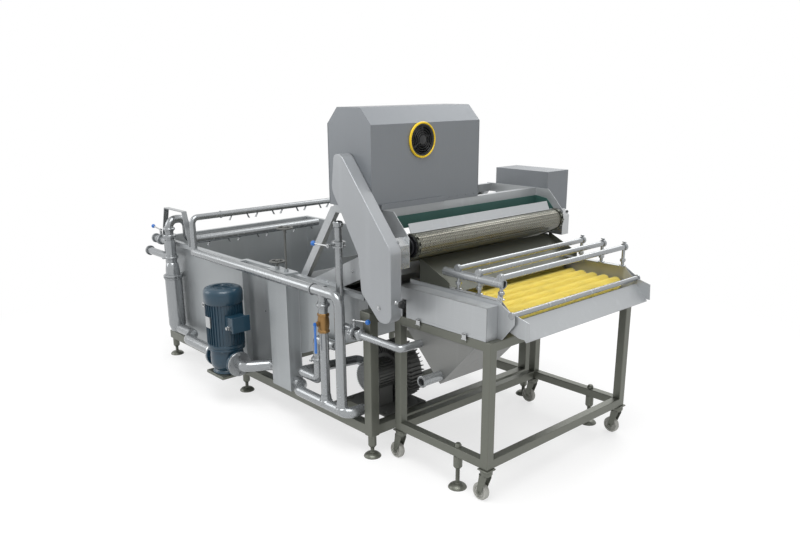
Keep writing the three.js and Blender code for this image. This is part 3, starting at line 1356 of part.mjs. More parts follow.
// Rear riser: pump pipe, wide riser, inverted U, lower spray pipe, stub, branch and flat-bar hoop
function rearRiser() {
  const x = riserX;
  const y = riserY;
  const loopY = y + riser.loopIn;
  const sprayEnd = legFar - lowerSpray.farGap;
  const outX = pumpX - pump.flangeReach - seat;
  const jogX = outX - (outX - x) * riser.jogShare;
  const flangeZ = riser.lowTop;
  const stub = rodX([x - riser.stubLength, x], y, riser.stubZ, riser.stubRadius);
  const stubRing = rodX([x - riser.stubLength, x - riser.stubLength + riser.flangeThick], y, riser.stubZ,
    riser.stubRadius + riser.stubRing);
  const hoopX = [x - riser.hoopLeft, x + riser.hoopRight];
  const top = riser.hoopTop;
  const bar = riser.hoopSheet;
  const hoop = plateXZ([
    [hoopX[0], riser.branchZ], [hoopX[0] + riser.hoopShoulder, top], [hoopX[1] - riser.hoopShoulder, top],
    [hoopX[1], rimZ + seat], [hoopX[1] - bar, rimZ + seat], [hoopX[1] - riser.hoopShoulder - bar, top - bar],
    [hoopX[0] + riser.hoopShoulder + bar, top - bar], [hoopX[0] + bar, riser.branchZ],
  ], [y + riser.hoopOffset, y + riser.hoopOffset + riser.hoopWidth]);
  const body = join([
    pipe([[outX, pumpY, riser.pipeZ], [jogX, pumpY, riser.pipeZ], [jogX - pump.pipeShift, y, riser.pipeZ],
      [x, y, riser.pipeZ], [x, y, flangeZ]], riser.pipeRadius, riser.pipeBend),
    rodZ(x, y, [riser.pipeZ + riser.pipeRadius / 2, flangeZ], riser.radius),
    rodZ(x, y, [flangeZ - riser.flangeThick, flangeZ + riser.flangeThick], riser.flangeRadius),
    rodZ(x, y, [flangeZ, riser.bandTop], (riser.radius + riser.neckRadius) / 2),
    rodZ(x, y, [flangeZ, riser.branchZ + riser.flangeThick], riser.neckRadius),
    rodZ(x, y, [riser.branchZ + riser.neckRadius, riser.branchZ + riser.neckRadius + riser.band],
      riser.bandRadius),
    pipe([[x, y, riser.branchZ], [x, y, riser.loopTop], [x, loopY, riser.loopTop],
      [x, loopY, lowerSpray.z], [x, sprayEnd, lowerSpray.z]], riser.loopRadius, riser.loopBend),
    ...nozzles(lowerSpray, x, lowerSpray.z, lowerSpray.firstNozzle, sprayEnd - lowerSpray.firstNozzle / 2),
    stub, stubRing,
    rodX([x - riser.branchLength, x], y, riser.branchZ, riser.branchRadius, 8),
    rodX([x - riser.branchLength, x - riser.branchLength + riser.flangeThick], y, riser.branchZ,
      riser.branchRadius + riser.stubRing, 8),
    valveBody(valves[0]), hoop,
  ]);
  return cut(body, [rodX([x - riser.stubLength - over, x], y, riser.stubZ, riser.stubRadius - sheet, 8)]);
}

add('rear_riser', rearRiser(), stainless);

// Handwheels on screwed spindles over the suction column
function handwheel({ x, rise, radius }) {
  const top = rimZ + column.top + rise;
  const rim = new THREE.TorusGeometry(radius - wheelStand.rimRadius, wheelStand.rimRadius, 5, 12);
  const pieces = [
    rim.translate(x, columnY, top),
    rodZ(x, columnY, [top - wheelStand.hub, top + wheelStand.hub / 2], wheelStand.hubRadius, 10),
    rodZ(x, columnY, [rimZ + column.top - wheelStand.reach, top], wheelStand.spindle, 8),
  ];
  for (let index = 0; index < wheelStand.spokes; index += 1) {
    const spoke = rodX([0, radius - wheelStand.rimRadius], 0, 0, wheelStand.spokeRadius, 6);
    pieces.push(spoke.rotateZ((2 * Math.PI * index) / wheelStand.spokes).translate(x, columnY, top));
  }
  return join(pieces);
}

wheelPlaces().forEach((place, index) => add(`handwheel_${index + 1}`, handwheel(place), castGrey));

// Suction pipe from the column to the pump's right flange
function suctionPipe() {
  const start = pumpX + pump.flangeReach + seat;
  const leadX = start + pump.pipeLead;
  return pipe([
    [start, pumpY, pumpAxis], [leadX, pumpY, pumpAxis], [leadX + pump.pipeShift, columnY, pumpAxis],
    [columnLeft - seat, columnY, pumpAxis],
  ], pump.pipeRadius, pump.pipeBend);
}

add('suction_pipe', suctionPipe(), stainless);

// Pump: volute with two flanged necks, lid and impeller room
const pumpShaftBore = boreRadius(pump.shaftRadius, pump.shaftGap, pump.shaftSides);

function pumpVolute() {
  const bottom = shelfTop;
  const neck = (side) => {
    const reach = [pumpX - pump.flangeReach, pumpX + pump.flangeReach];
    const flangeX = side < 0 ? [reach[0], reach[0] + pump.flange] : [reach[1] - pump.flange, reach[1]];
    return rodX(flangeX, pumpY, pumpAxis, pump.flangeRadius, 12);
  };
  const roomLow = bottom + pump.boreRise;
  return cut(join([
    rodZ(pumpX, pumpY, [bottom, bottom + pump.base + over], pump.baseRadius, 16),
    rodZ(pumpX, pumpY, [bottom + pump.base, voluteTop], pump.bodyRadius, 16),
    rodZ(pumpX, pumpY, [voluteTop - over, voluteTop + pump.lid], pump.lidRadius, 16),
    rodX([pumpX - pump.flangeReach, pumpX + pump.flangeReach], pumpY, pumpAxis, pump.neckRadius),
    neck(-1), neck(1),
  ]), [
    rodZ(pumpX, pumpY, [roomLow, roomLow + pump.boreHeight], pump.bore, 16),
    rodZ(pumpX, pumpY, [roomLow, voluteTop + pump.lid + over], pumpShaftBore, pump.shaftSides),
  ]);
}

add('pump_volute', pumpVolute(), pumpBlue);

// Pump motor: ribbed housing with cowl, terminal box, blank plate and lifting eye
function pumpMotor() {
  const low = motorBottom;
  const high = low + pump.motorHeight;
  const cowlLow = high - pump.cowlHeight;
  const cowl = turned([
    [0, cowlLow], [pump.cowlRadius, cowlLow], [pump.cowlRadius, high - pump.cowlRound],
    [pump.cowlRadius - pump.cowlRound / 3, high - pump.cowlRound / 3], [pump.cowlRadius - pump.cowlRound, high],
    [0, high],
  ], 16).translate(pumpX, pumpY, 0);
  const core = pump.motorRadius - pump.rib;
  const pieces = [
    rodZ(pumpX, pumpY, [low, cowlLow + over], core, 16), cowl,
    rodZ(pumpX, pumpY, [low, low + pump.ribGap], pump.motorRadius, 16),
    box([pumpX + core - over, pumpX + pump.motorRadius + pump.boxX],
      [pumpY - pump.boxY / 2, pumpY + pump.boxY / 2], [low + pump.boxRise, low + pump.boxRise + pump.boxZ]),
    box([pumpX - pump.plateX / 2, pumpX + pump.plateX / 2], [pumpY - core - pump.plate, pumpY - core + over],
      [low + pump.plateRise, low + pump.plateRise + pump.plateZ]),
  ];
  for (let index = 0; index < pump.ribs; index += 1) {
    const rib = box([core - over, pump.motorRadius], [-pump.ribWidth / 2, pump.ribWidth / 2],
      [low + pump.ribGap - seat, cowlLow - pump.ribGap / 2]);
    pieces.push(rib.rotateZ((2 * Math.PI * (index + 1 / 2)) / pump.ribs).translate(pumpX, pumpY, 0));
  }
  const cavityLow = low + pump.cavityRise;
  return cut(join(pieces), [
    rodZ(pumpX, pumpY, [cavityLow, cavityLow + pump.cavityHeight], pump.cavityRadius, 16),
    rodZ(pumpX, pumpY, [low - over, cavityLow + over], pumpShaftBore, pump.shaftSides),
  ]);
}

function pumpRotor() {
  const impellerLow = shelfTop + pump.impellerRise;
  const rotorLow = motorBottom + pump.rotorRise;
  return join([
    rodZ(pumpX, pumpY, [impellerLow, motorBottom + pump.shaftTop], pump.shaftRadius, pump.shaftSides),
    rodZ(pumpX, pumpY, [impellerLow, impellerLow + pump.impellerHeight], pump.impellerRadius, 12),
    rodZ(pumpX, pumpY, [rotorLow, rotorLow + pump.rotorHeight], pump.rotorRadius, 12),
  ]);
}

add('pump_motor', pumpMotor(), pumpBlue);
add('pump_rotor', pumpRotor(), darkStainless);

// Blower: finned side-channel casing on its foot plate, with the air pipe to the tank
const blowerPlateTop = tankFloor + seat + blower.plate;

function blowerCasing() {
  const y = [blowerJoint + seat, blowerFar];
  const foot = blower.footWidth / 2;
  const pieces = [
    rodY(blowerX, y, blowerZ, blowerRadius, 20),
    box([blowerLeft, blowerRight], [blower.nearY, blowerFar], [tankFloor + seat, blowerPlateTop]),
    box([blowerX - foot, blowerX + foot], [y[0] + blower.footInset, y[1] - blower.footInset],
      [blowerPlateTop - over, blowerZ - blowerRadius / 2]),
  ];
  for (let index = 0; index < blower.fins; index += 1) {
    const fin = box([-blower.finWidth / 2, blower.finWidth / 2], [y[0] + blower.finInset, y[1] - blower.finInset],
      [blowerRadius * Math.cos(Math.PI / 20) - sheet, blowerRadius + blower.fin]);
    if (Math.abs(index - blower.fins / 2) > 1) {
      pieces.push(fin.rotateY((2 * Math.PI * index) / blower.fins).translate(blowerX, 0, blowerZ));
    }
  }
  const lowY = wallNear - air.radius - air.off;
  const farX = tankFront - air.loopX;
  const lowZ = blowerZ - air.outZ;
  const highZ = lowZ + air.loopHigh;
  const enterX = tankFront - air.enterX;
  const outY = (y[0] + y[1]) / 2;
  const runX = blowerLeft - air.firstRun;
  pieces.push(pipe([
    [blowerX - blowerRadius + air.root, outY, lowZ], [runX, outY, lowZ],
    [runX - air.secondRun, lowY, lowZ], [farX, lowY, lowZ], [farX, lowY, highZ],
    [enterX, lowY, highZ], [enterX, wallNear - seat, highZ],
  ], air.radius, air.bend / 2));
  return join(pieces);
}

function blowerMotor() {
  const y = [blower.nearY, blowerJoint];
  const core = blower.motorRadius - blower.rib;
  const foot = blower.footWidth / 2;
  const pieces = [
    rodY(blowerX, y, blowerZ, core, 16),
    rodY(blowerX, [y[0], y[0] + blower.cowl], blowerZ, blower.cowlRadius, 16),
    box([blowerX - foot, blowerX + foot], [y[0] + blower.cowl + blower.footInset, y[1] - blower.footInset],
      [blowerPlateTop + seat, blowerZ - blower.motorRadius / 2]),
  ];
  for (let index = 0; index < blower.ribs; index += 1) {
    const rib = box([-blower.ribWidth / 2, blower.ribWidth / 2], [y[0] + blower.cowl - over, y[1] - blower.rib],
      [core - over, blower.motorRadius]);
    pieces.push(rib.rotateY((2 * Math.PI * (index + 1 / 2)) / blower.ribs).translate(blowerX, 0, blowerZ));
  }
  return join(pieces);
}

add('blower_casing', blowerCasing(), castGrey);
add('blower_motor', blowerMotor(), castGrey);

// The origin goes to the middle of the footprint, at floor level
const bounds = new THREE.Box3().setFromObject(machine);
const middle = bounds.getCenter(new THREE.Vector3());
machine.position.set(-middle.x, -middle.y, -bounds.min.z);

export default machine;
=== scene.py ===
# %% [markdown]
# # A fruit washing machine, dressed for its picture
# The real machine has four parts in a row: a stainless wash tank with bubble pipes, an inclined
# mesh belt that lifts the fruit out, a fan housing that blows water off, and a castered table of
# yellow brush rollers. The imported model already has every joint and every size. This lesson adds
# what a camera would see: round pipes, folded edges, bolts, bristles, woven belt, paint and
# brushed steel.

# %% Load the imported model
import math

import bmesh
import bpy
from mathutils import Matrix, Vector


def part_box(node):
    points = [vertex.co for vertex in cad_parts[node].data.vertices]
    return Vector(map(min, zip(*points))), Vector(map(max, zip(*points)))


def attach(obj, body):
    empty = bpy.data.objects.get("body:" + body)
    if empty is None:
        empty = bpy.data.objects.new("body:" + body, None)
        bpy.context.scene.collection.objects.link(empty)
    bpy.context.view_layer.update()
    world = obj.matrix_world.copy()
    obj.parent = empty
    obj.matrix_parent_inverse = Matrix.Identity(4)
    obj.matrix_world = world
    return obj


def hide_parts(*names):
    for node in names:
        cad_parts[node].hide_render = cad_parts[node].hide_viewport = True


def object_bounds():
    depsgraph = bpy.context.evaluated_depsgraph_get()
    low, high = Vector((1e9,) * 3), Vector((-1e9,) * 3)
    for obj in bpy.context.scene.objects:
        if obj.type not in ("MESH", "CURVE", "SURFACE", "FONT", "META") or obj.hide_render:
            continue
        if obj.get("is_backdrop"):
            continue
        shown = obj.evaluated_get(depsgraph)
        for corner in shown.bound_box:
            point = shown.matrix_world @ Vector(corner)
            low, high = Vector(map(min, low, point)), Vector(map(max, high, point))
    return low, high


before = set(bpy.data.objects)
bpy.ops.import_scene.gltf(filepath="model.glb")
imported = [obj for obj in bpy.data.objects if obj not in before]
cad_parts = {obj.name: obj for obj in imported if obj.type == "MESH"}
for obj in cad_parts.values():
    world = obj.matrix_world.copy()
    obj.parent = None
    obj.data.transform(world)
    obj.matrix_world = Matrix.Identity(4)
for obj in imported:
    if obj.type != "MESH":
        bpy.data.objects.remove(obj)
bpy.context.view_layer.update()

print("nodes in the model:", len(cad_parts))

# %% [markdown]
# ## One drawing, in millimetres
# The machine was drawn in millimetres from the near front corner of the brush cart. Blender works
# in metres from the middle of the footprint. Shapes below are written in the drawing's numbers,
# because they are easier to read, and one function moves a finished shape into the frame.

# %% The drawing's places
MM = 0.001
CART_LENGTH = 555
ROLLERS, FIRST_ROLLER, ROLLER_PITCH, ROLLER_Z = 8, -57, 62, 763
# Axes of the belt's two drums
HEAD, TAIL = Vector((-450, 0, 1012)), Vector((-1900, 0, 340))
# Middle of the fan's port
PORT_X, PORT_Y, PORT_Z = -596.7, 204.5, 1426.3
# The pump's upright axis, with its ports' height and reach, and the blower's axis along y
PX, PY, PZ, PORT_REACH = -1690, -199.8, 240, 115.3
BX, BZ = -812, 312.4
# The tank's suction column, the supply pipe with its brass valve, and the main frame's long rails
COLUMN_Y, SUPPLY_Y, BRASS_X = -72.3, -136.8, -890
NEAR_RAIL, FAR_RAIL = -84.8, 1014.8


def frame_shift():
    """The shift from the drawing to the frame, read from the head drum's near bearing."""
    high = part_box("head_bearing_near")[1]
    return Vector((high.x / MM + 425, high.y / MM + 31.8, 0))


ORIGIN = frame_shift()
print("drawing to frame:", [round(value, 2) for value in ORIGIN])

# %% [markdown]
# ## Shapes as skins over rings
# Nearly every piece of sheet and pipe work is a row of rings joined by faces. A bar is two rings,
# a turned knob is many rings round one axis, and a bent pipe is a ring carried along its route.
# One small class keeps them all, so that later cells only say where a piece goes.

# %% Routes with round bends
def routed(corners, bend, steps=7):
    """Points and headings along straight runs with a round bend at each inner corner."""
    corners = [Vector(corner) for corner in corners]
    stations = [(corners[0], (corners[1] - corners[0]).normalized())]
    for before, corner, after in zip(corners, corners[1:], corners[2:]):
        arriving = (corner - before).normalized()
        leaving = (after - corner).normalized()
        turn = arriving.angle(leaving)
        reach = bend * math.tan(turn / 2)
        axis = arriving.cross(leaving).normalized()
        start = corner - arriving * reach
        centre = start + axis.cross(arriving) * bend
        for step in range(steps + 1):
            spin = Matrix.Rotation(turn * step / steps, 3, axis)
            stations.append((centre + spin @ (start - centre), spin @ arriving))
    stations.append((corners[-1], (corners[-1] - corners[-2]).normalized()))
    return stations


def round_points(radius, sides):
    angles = [2 * math.pi * index / sides for index in range(sides)]
    return [(radius * math.cos(angle), radius * math.sin(angle)) for angle in angles]

# %% A class that collects closed forms
X, Y, Z = Vector((1, 0, 0)), Vector((0, 1, 0)), Vector((0, 0, 1))


class Shape:
    """Closed forms in the drawing's millimetres."""

    def __init__(self):
        self.bm = bmesh.new()

    def skin(self, rings, closed=False):
        """Faces between each ring and the next. A ring of one point makes a cone."""
        made = [[self.bm.verts.new(point) for point in ring] for ring in rings]
        pairs = list(zip(made, made[1:])) + ([(made[-1], made[0])] if closed else [])
        for a, b in pairs:
            count = max(len(a), len(b))
            for i in range(count):
                j = (i + 1) % count
                corners = [a[i % len(a)], a[j % len(a)], b[j % len(b)], b[i % len(b)]]
                corners = list(dict.fromkeys(corners))
                if len(corners) > 2:
                    self.bm.faces.new(corners)
        for ring in [] if closed else (made[0], made[-1]):
            if len(ring) > 2:
                self.bm.faces.new(ring)
        return self

    def box(self, x, y, z):
        size = Vector((x[1] - x[0], y[1] - y[0], z[1] - z[0]))
        middle = Vector((x[0] + x[1], y[0] + y[1], z[0] + z[1])) / 2
        place = Matrix.Translation(middle) @ Matrix.Diagonal((*size, 1))
        bmesh.ops.create_cube(self.bm, size=1, matrix=place)
        return self

    def turned(self, profile, centre, axis, sides=32):
        """Profile points are radius and height. An open profile is led to the axis at both ends."""
        along = Vector(axis).normalized()
        side = along.orthogonal().normalized()
        up = along.cross(side)
        closed = profile[0] == profile[-1]
        points = profile[:-1] if closed else list(profile)
        if not closed and points[0][0]:
            points.insert(0, (0, points[0][1]))
        if not closed and points[-1][0]:
            points.append((0, points[-1][1]))
        rings = []
        for radius, height in points:
            middle = Vector(centre) + along * height
            circle = round_points(radius, sides) if radius else [(0, 0)]
            rings.append([middle + side * u + up * v for u, v in circle])
        return self.skin(rings, closed)

    def rod(self, start, end, radius, sides=24, edge=0.0):
        way = Vector(end) - Vector(start)
        length = way.length
        profile = [(radius, 0), (radius, length)]
        if edge:
            profile = [(radius - edge, 0), (radius, edge), (radius, length - edge),
                       (radius - edge, length)]
        return self.turned(profile, start, way, sides)

    def sleeve(self, start, end, inner, outer, sides=32):
        way = Vector(end) - Vector(start)
        profile = [(inner, 0), (outer, 0), (outer, way.length), (inner, way.length), (inner, 0)]
        return self.turned(profile, start, way, sides)

    def pipe(self, corners, radius, bend, sides=20, steps=7):
        """A round bar along a route. Each ring keeps its twist from the one before."""
        stations = routed(corners, bend, steps)
        side = stations[0][1].orthogonal().normalized()
        rings = []
        heading = stations[0][1]
        for place, direction in stations:
            side = heading.rotation_difference(direction) @ side
            heading = direction
            up = direction.cross(side)
            rings.append([place + side * u + up * v for u, v in round_points(radius, sides)])
        return self.skin(rings)

    def plate(self, outline, span):
        """An outline in x and z, between two values of y."""
        return self.skin([[(x, y, z) for x, z in outline] for y in span])

    def ball(self, centre, radius, sides=20):
        steps = sides // 2
        profile = [(radius * math.sin(math.pi * step / steps),
                    -radius * math.cos(math.pi * step / steps)) for step in range(steps + 1)]
        profile[0], profile[-1] = (0, -radius), (0, radius)
        return self.turned(profile, centre, Z, sides)

    def torus(self, centre, axis, radius, thickness, sides=40, around=12):
        profile = [(radius + u, v) for u, v in round_points(thickness, around)]
        return self.turned([*profile, profile[0]], centre, axis, sides)

    def bolt(self, centre, axis, radius, height, washer=True):
        if washer:
            self.turned([(radius * 1.35, 0), (radius * 1.35, height * 0.25)], centre, axis, 16)
        return self.turned([(radius, 0), (radius, height * 0.85), (radius * 0.8, height)],
                           centre, axis, 6)

    def take(self, mesh):
        self.bm.from_mesh(mesh)
        return self

# %% [markdown]
# ## From a shape to a piece
# A finished piece is one mesh at the origin with its place in its points. It rides on a body of
# the model and hides the plain nodes it stands for. Small edges are rounded by a Bevel modifier,
# because a bent sheet or a cast edge always catches a line of light.

# %% Pieces
EDGE_ANGLE = math.radians(35)


def piece(name, shape, material, body="machine", replaces=(), edge=0.0, slot=None):
    """Finish a shape as one object. The slot, from the material unless given, is not used."""
    slot = slot or SLOTS.get(material, "stainless")
    bm = shape.bm
    bmesh.ops.recalc_face_normals(bm, faces=bm.faces)
    for vertex in bm.verts:
        vertex.co = (vertex.co + ORIGIN) * MM
    mesh = bpy.data.meshes.new(name)
    bm.to_mesh(mesh)
    bm.free()
    mesh.materials.append(material)
    mesh.shade_smooth()
    made = bpy.data.objects.new(name, mesh)
    bpy.context.scene.collection.objects.link(made)
    if edge:
        rounding = made.modifiers.new("rounded edges", "BEVEL")
        rounding.width = edge * MM
        rounding.segments = 2
        rounding.limit_method = "ANGLE"
        rounding.angle_limit = EDGE_ANGLE
        rounding.harden_normals = True
    else:
        mesh.set_sharp_from_angle(angle=EDGE_ANGLE)
    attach(made, body)
    if replaces:
        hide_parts(*replaces)
    print(name, len(mesh.polygons), "faces")
    return made

# %% [markdown]
# ## A tree that repeats
# Bolts, ribs, rods and teeth repeat along a line or round an axis. One Geometry Nodes tree does
# both: it puts a point for each copy, moves it by a step, turns it about an axis, and places the
# shape there. Real copies are needed by the export, so the tree ends by realising them and
# setting the material.

# %% Build the repeat tree
def node(tree, kind, inputs=None, **settings):
    made = tree.nodes.new(kind)
    for key, value in settings.items():
        setattr(made, key, value)
    for key, value in (inputs or {}).items():
        if isinstance(value, bpy.types.NodeSocket):
            tree.links.new(value, made.inputs[key])
        else:
            made.inputs[key].default_value = value
    return made


def new_tree(name, sockets):
    tree = bpy.data.node_groups.new(name, "GeometryNodeTree")
    for title, kind, value in sockets:
        socket = tree.interface.new_socket(title, in_out="INPUT", socket_type="NodeSocket" + kind)
        if value is not None:
            socket.default_value = value
    tree.interface.new_socket("Geometry", in_out="OUTPUT", socket_type="NodeSocketGeometry")
    return tree, tree.nodes.new("NodeGroupInput").outputs


def close_tree(tree, instances, material):
    real = node(tree, "GeometryNodeRealizeInstances", {"Geometry": instances})
    dressed = node(tree, "GeometryNodeSetMaterial", {"Geometry": real.outputs[0],
                                                     "Material": material})
    end = tree.nodes.new("NodeGroupOutput")
    tree.links.new(dressed.outputs[0], end.inputs[0])


def repeat_tree():
    """Copies of a shape, moved by a step or turned about an axis through a centre."""
    tree, given = new_tree("repeat", [("Geometry", "Geometry", None), ("Count", "Int", 8),
                                      ("Step", "Vector", None), ("Turn", "Float", 0.0),
                                      ("Axis", "Vector", None), ("Centre", "Vector", None),
                                      ("Material", "Material", None)])
    index = node(tree, "GeometryNodeInputIndex").outputs[0]
    moved = node(tree, "ShaderNodeVectorMath", {0: given["Step"], "Scale": index},
                 operation="SCALE")
    place = node(tree, "ShaderNodeVectorMath", {0: given["Centre"], 1: moved.outputs[0]},
                 operation="ADD")
    angle = node(tree, "ShaderNodeMath", {0: given["Turn"], 1: index}, operation="MULTIPLY")
    spin = node(tree, "FunctionNodeAxisAngleToRotation",
                {"Axis": given["Axis"], "Angle": angle.outputs[0]})
    points = node(tree, "GeometryNodePoints", {"Count": given["Count"],
                                               "Position": place.outputs[0]})
    back = node(tree, "ShaderNodeVectorMath", {0: given["Centre"], "Scale": -1.0},
                operation="SCALE")
    source = node(tree, "GeometryNodeTransform", {"Geometry": given["Geometry"],
                                                  "Translation": back.outputs[0]})
    copies = node(tree, "GeometryNodeInstanceOnPoints", {
        "Points": points.outputs[0], "Instance": source.outputs[0], "Rotation": spin.outputs[0]})
    close_tree(tree, copies.outputs[0], given["Material"])
    return tree

# %% Run a tree and keep its result as a plain mesh
def grown(tree, values, source=None):
    """Run a tree on a source shape and return the mesh it makes."""
    mesh = bpy.data.meshes.new("source")
    if source:
        source.bm.to_mesh(mesh)
        source.bm.free()
    holder = bpy.data.objects.new("grower", mesh)
    bpy.context.scene.collection.objects.link(holder)
    grower = holder.modifiers.new("grow", "NODES")
    grower.node_group = tree
    for item in tree.interface.items_tree:
        if item.item_type == "SOCKET" and item.in_out == "INPUT" and item.name in values:
            grower[item.identifier] = values[item.name]
    bpy.context.view_layer.update()
    evaluated = holder.evaluated_get(bpy.context.evaluated_depsgraph_get())
    result = bpy.data.meshes.new_from_object(evaluated)
    bpy.data.objects.remove(holder)
    return result


REPEAT = repeat_tree()


def floats(values):
    return tuple(float(value) for value in values)


def repeat(shape, source, count, step=(0, 0, 0), axis=Z, centre=None):
    """Add copies of a source shape, one step apart or evenly round an axis through the centre."""
    turn = 2 * math.pi / count if centre else 0.0
    shape.take(grown(REPEAT, {"Count": count, "Step": floats(step), "Turn": turn,
                              "Axis": floats(axis), "Centre": floats(centre or (0, 0, 0))}, source))


def teeth(shape, x, z, span, root, tip, wide, narrow):
    """Twelve teeth round a disc on the axis at x and z. Wide and narrow are half widths."""
    tooth = Shape().plate([(x - wide, z + root), (x + wide, z + root), (x + narrow, z + tip),
                           (x - narrow, z + tip)], span)
    repeat(shape, tooth, 12, axis=Y, centre=(x, 0, z))

# %% [markdown]
# ## Shared finishes
# All metal sheets on the machine were brushed by the mill, handled, and splashed. The first group
# makes the fine grain: noise stretched along one direction. The second adds soft blotches and
# dried water marks. The third roughens cast and painted skins. Each material places the groups
# with its own values.

# %% Shader groups
def new_group(name, given, made):
    """A shader group. Each input takes its kind from its default value."""
    tree = bpy.data.node_groups.new(name, "ShaderNodeTree")
    for title, value in given.items():
        kind = {4: "Color", 3: "Vector"}[len(value)] if isinstance(value, tuple) else "Float"
        socket = tree.interface.new_socket(title, in_out="INPUT", socket_type="NodeSocket" + kind)
        socket.default_value = value
    for title in made:
        kind = "Color" if title == "Colour" else "Float"
        tree.interface.new_socket(title, in_out="OUTPUT", socket_type="NodeSocket" + kind)
    return tree, tree.nodes.new("NodeGroupInput").outputs, tree.nodes.new("NodeGroupOutput")


def object_place(tree):
    return node(tree, "ShaderNodeTexCoord").outputs["Object"]


def noise(tree, place, scale, detail):
    return node(tree, "ShaderNodeTexNoise", {"Vector": place, "Scale": scale,
                                             "Detail": detail}).outputs[0]


def math_node(tree, operation, a, b=0.0, c=0.0):
    return node(tree, "ShaderNodeMath", {0: a, 1: b, 2: c}, operation=operation).outputs[0]


def wire(tree, target, links):
    for key, socket in links.items():
        tree.links.new(socket, target.inputs[key])


def scaled_colour(tree, colour, factor):
    return node(tree, "ShaderNodeVectorMath", {0: colour, "Scale": factor},
                operation="SCALE").outputs[0]


def grain_group():
    """Mill grain: streaks along one direction, in colour, roughness and height."""
    tree, given, end = new_group("mill grain", {
        "Colour": (0.5, 0.5, 0.5, 1), "Grain": (4, 60, 400), "Depth": 0.08, "Roughness": 0.35,
        "Spread": 0.12}, ["Colour", "Roughness", "Height"])
    stretched = node(tree, "ShaderNodeMapping", {"Vector": object_place(tree),
                                                 "Scale": given["Grain"]})
    streak = noise(tree, stretched.outputs[0], 1.0, 3.0)
    centred = math_node(tree, "SUBTRACT", streak, 0.5)
    factor = math_node(tree, "MULTIPLY_ADD", centred, given["Depth"], 1.0)
    rough = math_node(tree, "MULTIPLY_ADD", centred, given["Spread"], given["Roughness"])
    wire(tree, end, {"Colour": scaled_colour(tree, given["Colour"], factor), "Roughness": rough,
                     "Height": streak})
    return tree


def marks_group():
    """Blotches from handling and pale tracks left by dried water."""
    tree, given, end = new_group("water marks", {
        "Colour": (0.5, 0.5, 0.5, 1), "Roughness": 0.35, "Blotch": 0.12, "Tracks": 0.06,
        "Size": 2.4}, ["Colour", "Roughness"])
    place = object_place(tree)
    blotch = noise(tree, place, given["Size"], 2.0)
    drawn = node(tree, "ShaderNodeMapping", {"Vector": place, "Scale": (26, 26, 1.6)})
    tracks = noise(tree, drawn.outputs[0], 1.0, 4.0)
    soft = math_node(tree, "SUBTRACT", blotch, 0.5)
    narrow = math_node(tree, "MAXIMUM", math_node(tree, "SUBTRACT", tracks, 0.56), 0.0)
    factor = math_node(tree, "MULTIPLY_ADD", soft, given["Blotch"], 1.0)
    factor = math_node(tree, "MULTIPLY_ADD", narrow, given["Tracks"], factor)
    rough = math_node(tree, "MULTIPLY_ADD", soft, given["Blotch"], given["Roughness"])
    rough = math_node(tree, "MULTIPLY_ADD", narrow, 0.5, rough)
    wire(tree, end, {"Colour": scaled_colour(tree, given["Colour"], factor), "Roughness": rough})
    return tree


def skin_group():
    """Orange peel of paint or the sand skin of a casting, with darker pits."""
    tree, given, end = new_group("cast skin", {
        "Colour": (0.2, 0.2, 0.2, 1), "Size": 300.0, "Depth": 0.25, "Roughness": 0.45,
        "Dust": 0.15}, ["Colour", "Roughness", "Height"])
    place = object_place(tree)
    fine, broad = noise(tree, place, given["Size"], 2.0), noise(tree, place, 9.0, 3.0)
    fine_centred = math_node(tree, "SUBTRACT", fine, 0.5)
    pits = math_node(tree, "MULTIPLY_ADD", fine_centred, given["Depth"], 1.0)
    broad_centred = math_node(tree, "SUBTRACT", broad, 0.5)
    dust = math_node(tree, "MULTIPLY_ADD", broad_centred, given["Dust"], pits)
    rough = math_node(tree, "MULTIPLY_ADD", broad, given["Dust"], given["Roughness"])
    wire(tree, end, {"Colour": scaled_colour(tree, given["Colour"], dust), "Roughness": rough,
                     "Height": fine})
    return tree


GRAIN, MARKS, SKIN = grain_group(), marks_group(), skin_group()

# %% [markdown]
# ## Materials
# Steel here is a mid grey with a soft gloss. Polished pipe is brighter and smoother than brushed
# sheet, and square frame tube is darker and a little olive. Constants such as metallic sit on the
# shader's own sockets. Only what varies over the surface comes from the groups.

# %% Steel materials
def linear(value):
    return value / 12.92 if value <= 0.04045 else ((value + 0.055) / 1.055) ** 2.4


def colour(code):
    parts = [int(code[index:index + 2], 16) / 255 for index in (1, 3, 5)]
    return (*[linear(part) for part in parts], 1)


def bumped(tree, height, strength, distance=0.0005):
    return node(tree, "ShaderNodeBump", {"Height": height, "Strength": strength,
                                         "Distance": distance}).outputs[0]


def new_material(name):
    material = bpy.data.materials.new(name)
    material.use_nodes = True
    tree = material.node_tree
    return material, tree, tree.nodes["Principled BSDF"]


def use_group(tree, group, values):
    return node(tree, "ShaderNodeGroup", values, node_tree=group).outputs


def steel(name, code, roughness, metallic, grain=(3, 60, 420),
          depth=0.10, blotch=0.14, tracks=0.5, bump=0.06):
    material, tree, shader = new_material(name)
    grained = use_group(tree, GRAIN, {"Colour": colour(code), "Grain": grain, "Depth": depth,
                                      "Roughness": roughness, "Spread": 0.14})
    marked = use_group(tree, MARKS, {"Colour": grained["Colour"], "Roughness": grained["Roughness"],
                                     "Blotch": blotch, "Tracks": tracks})
    shader.inputs["Metallic"].default_value = metallic
    wire(tree, shader, {"Base Color": marked["Colour"], "Roughness": marked["Roughness"],
                        "Normal": bumped(tree, grained["Height"], bump)})
    return material


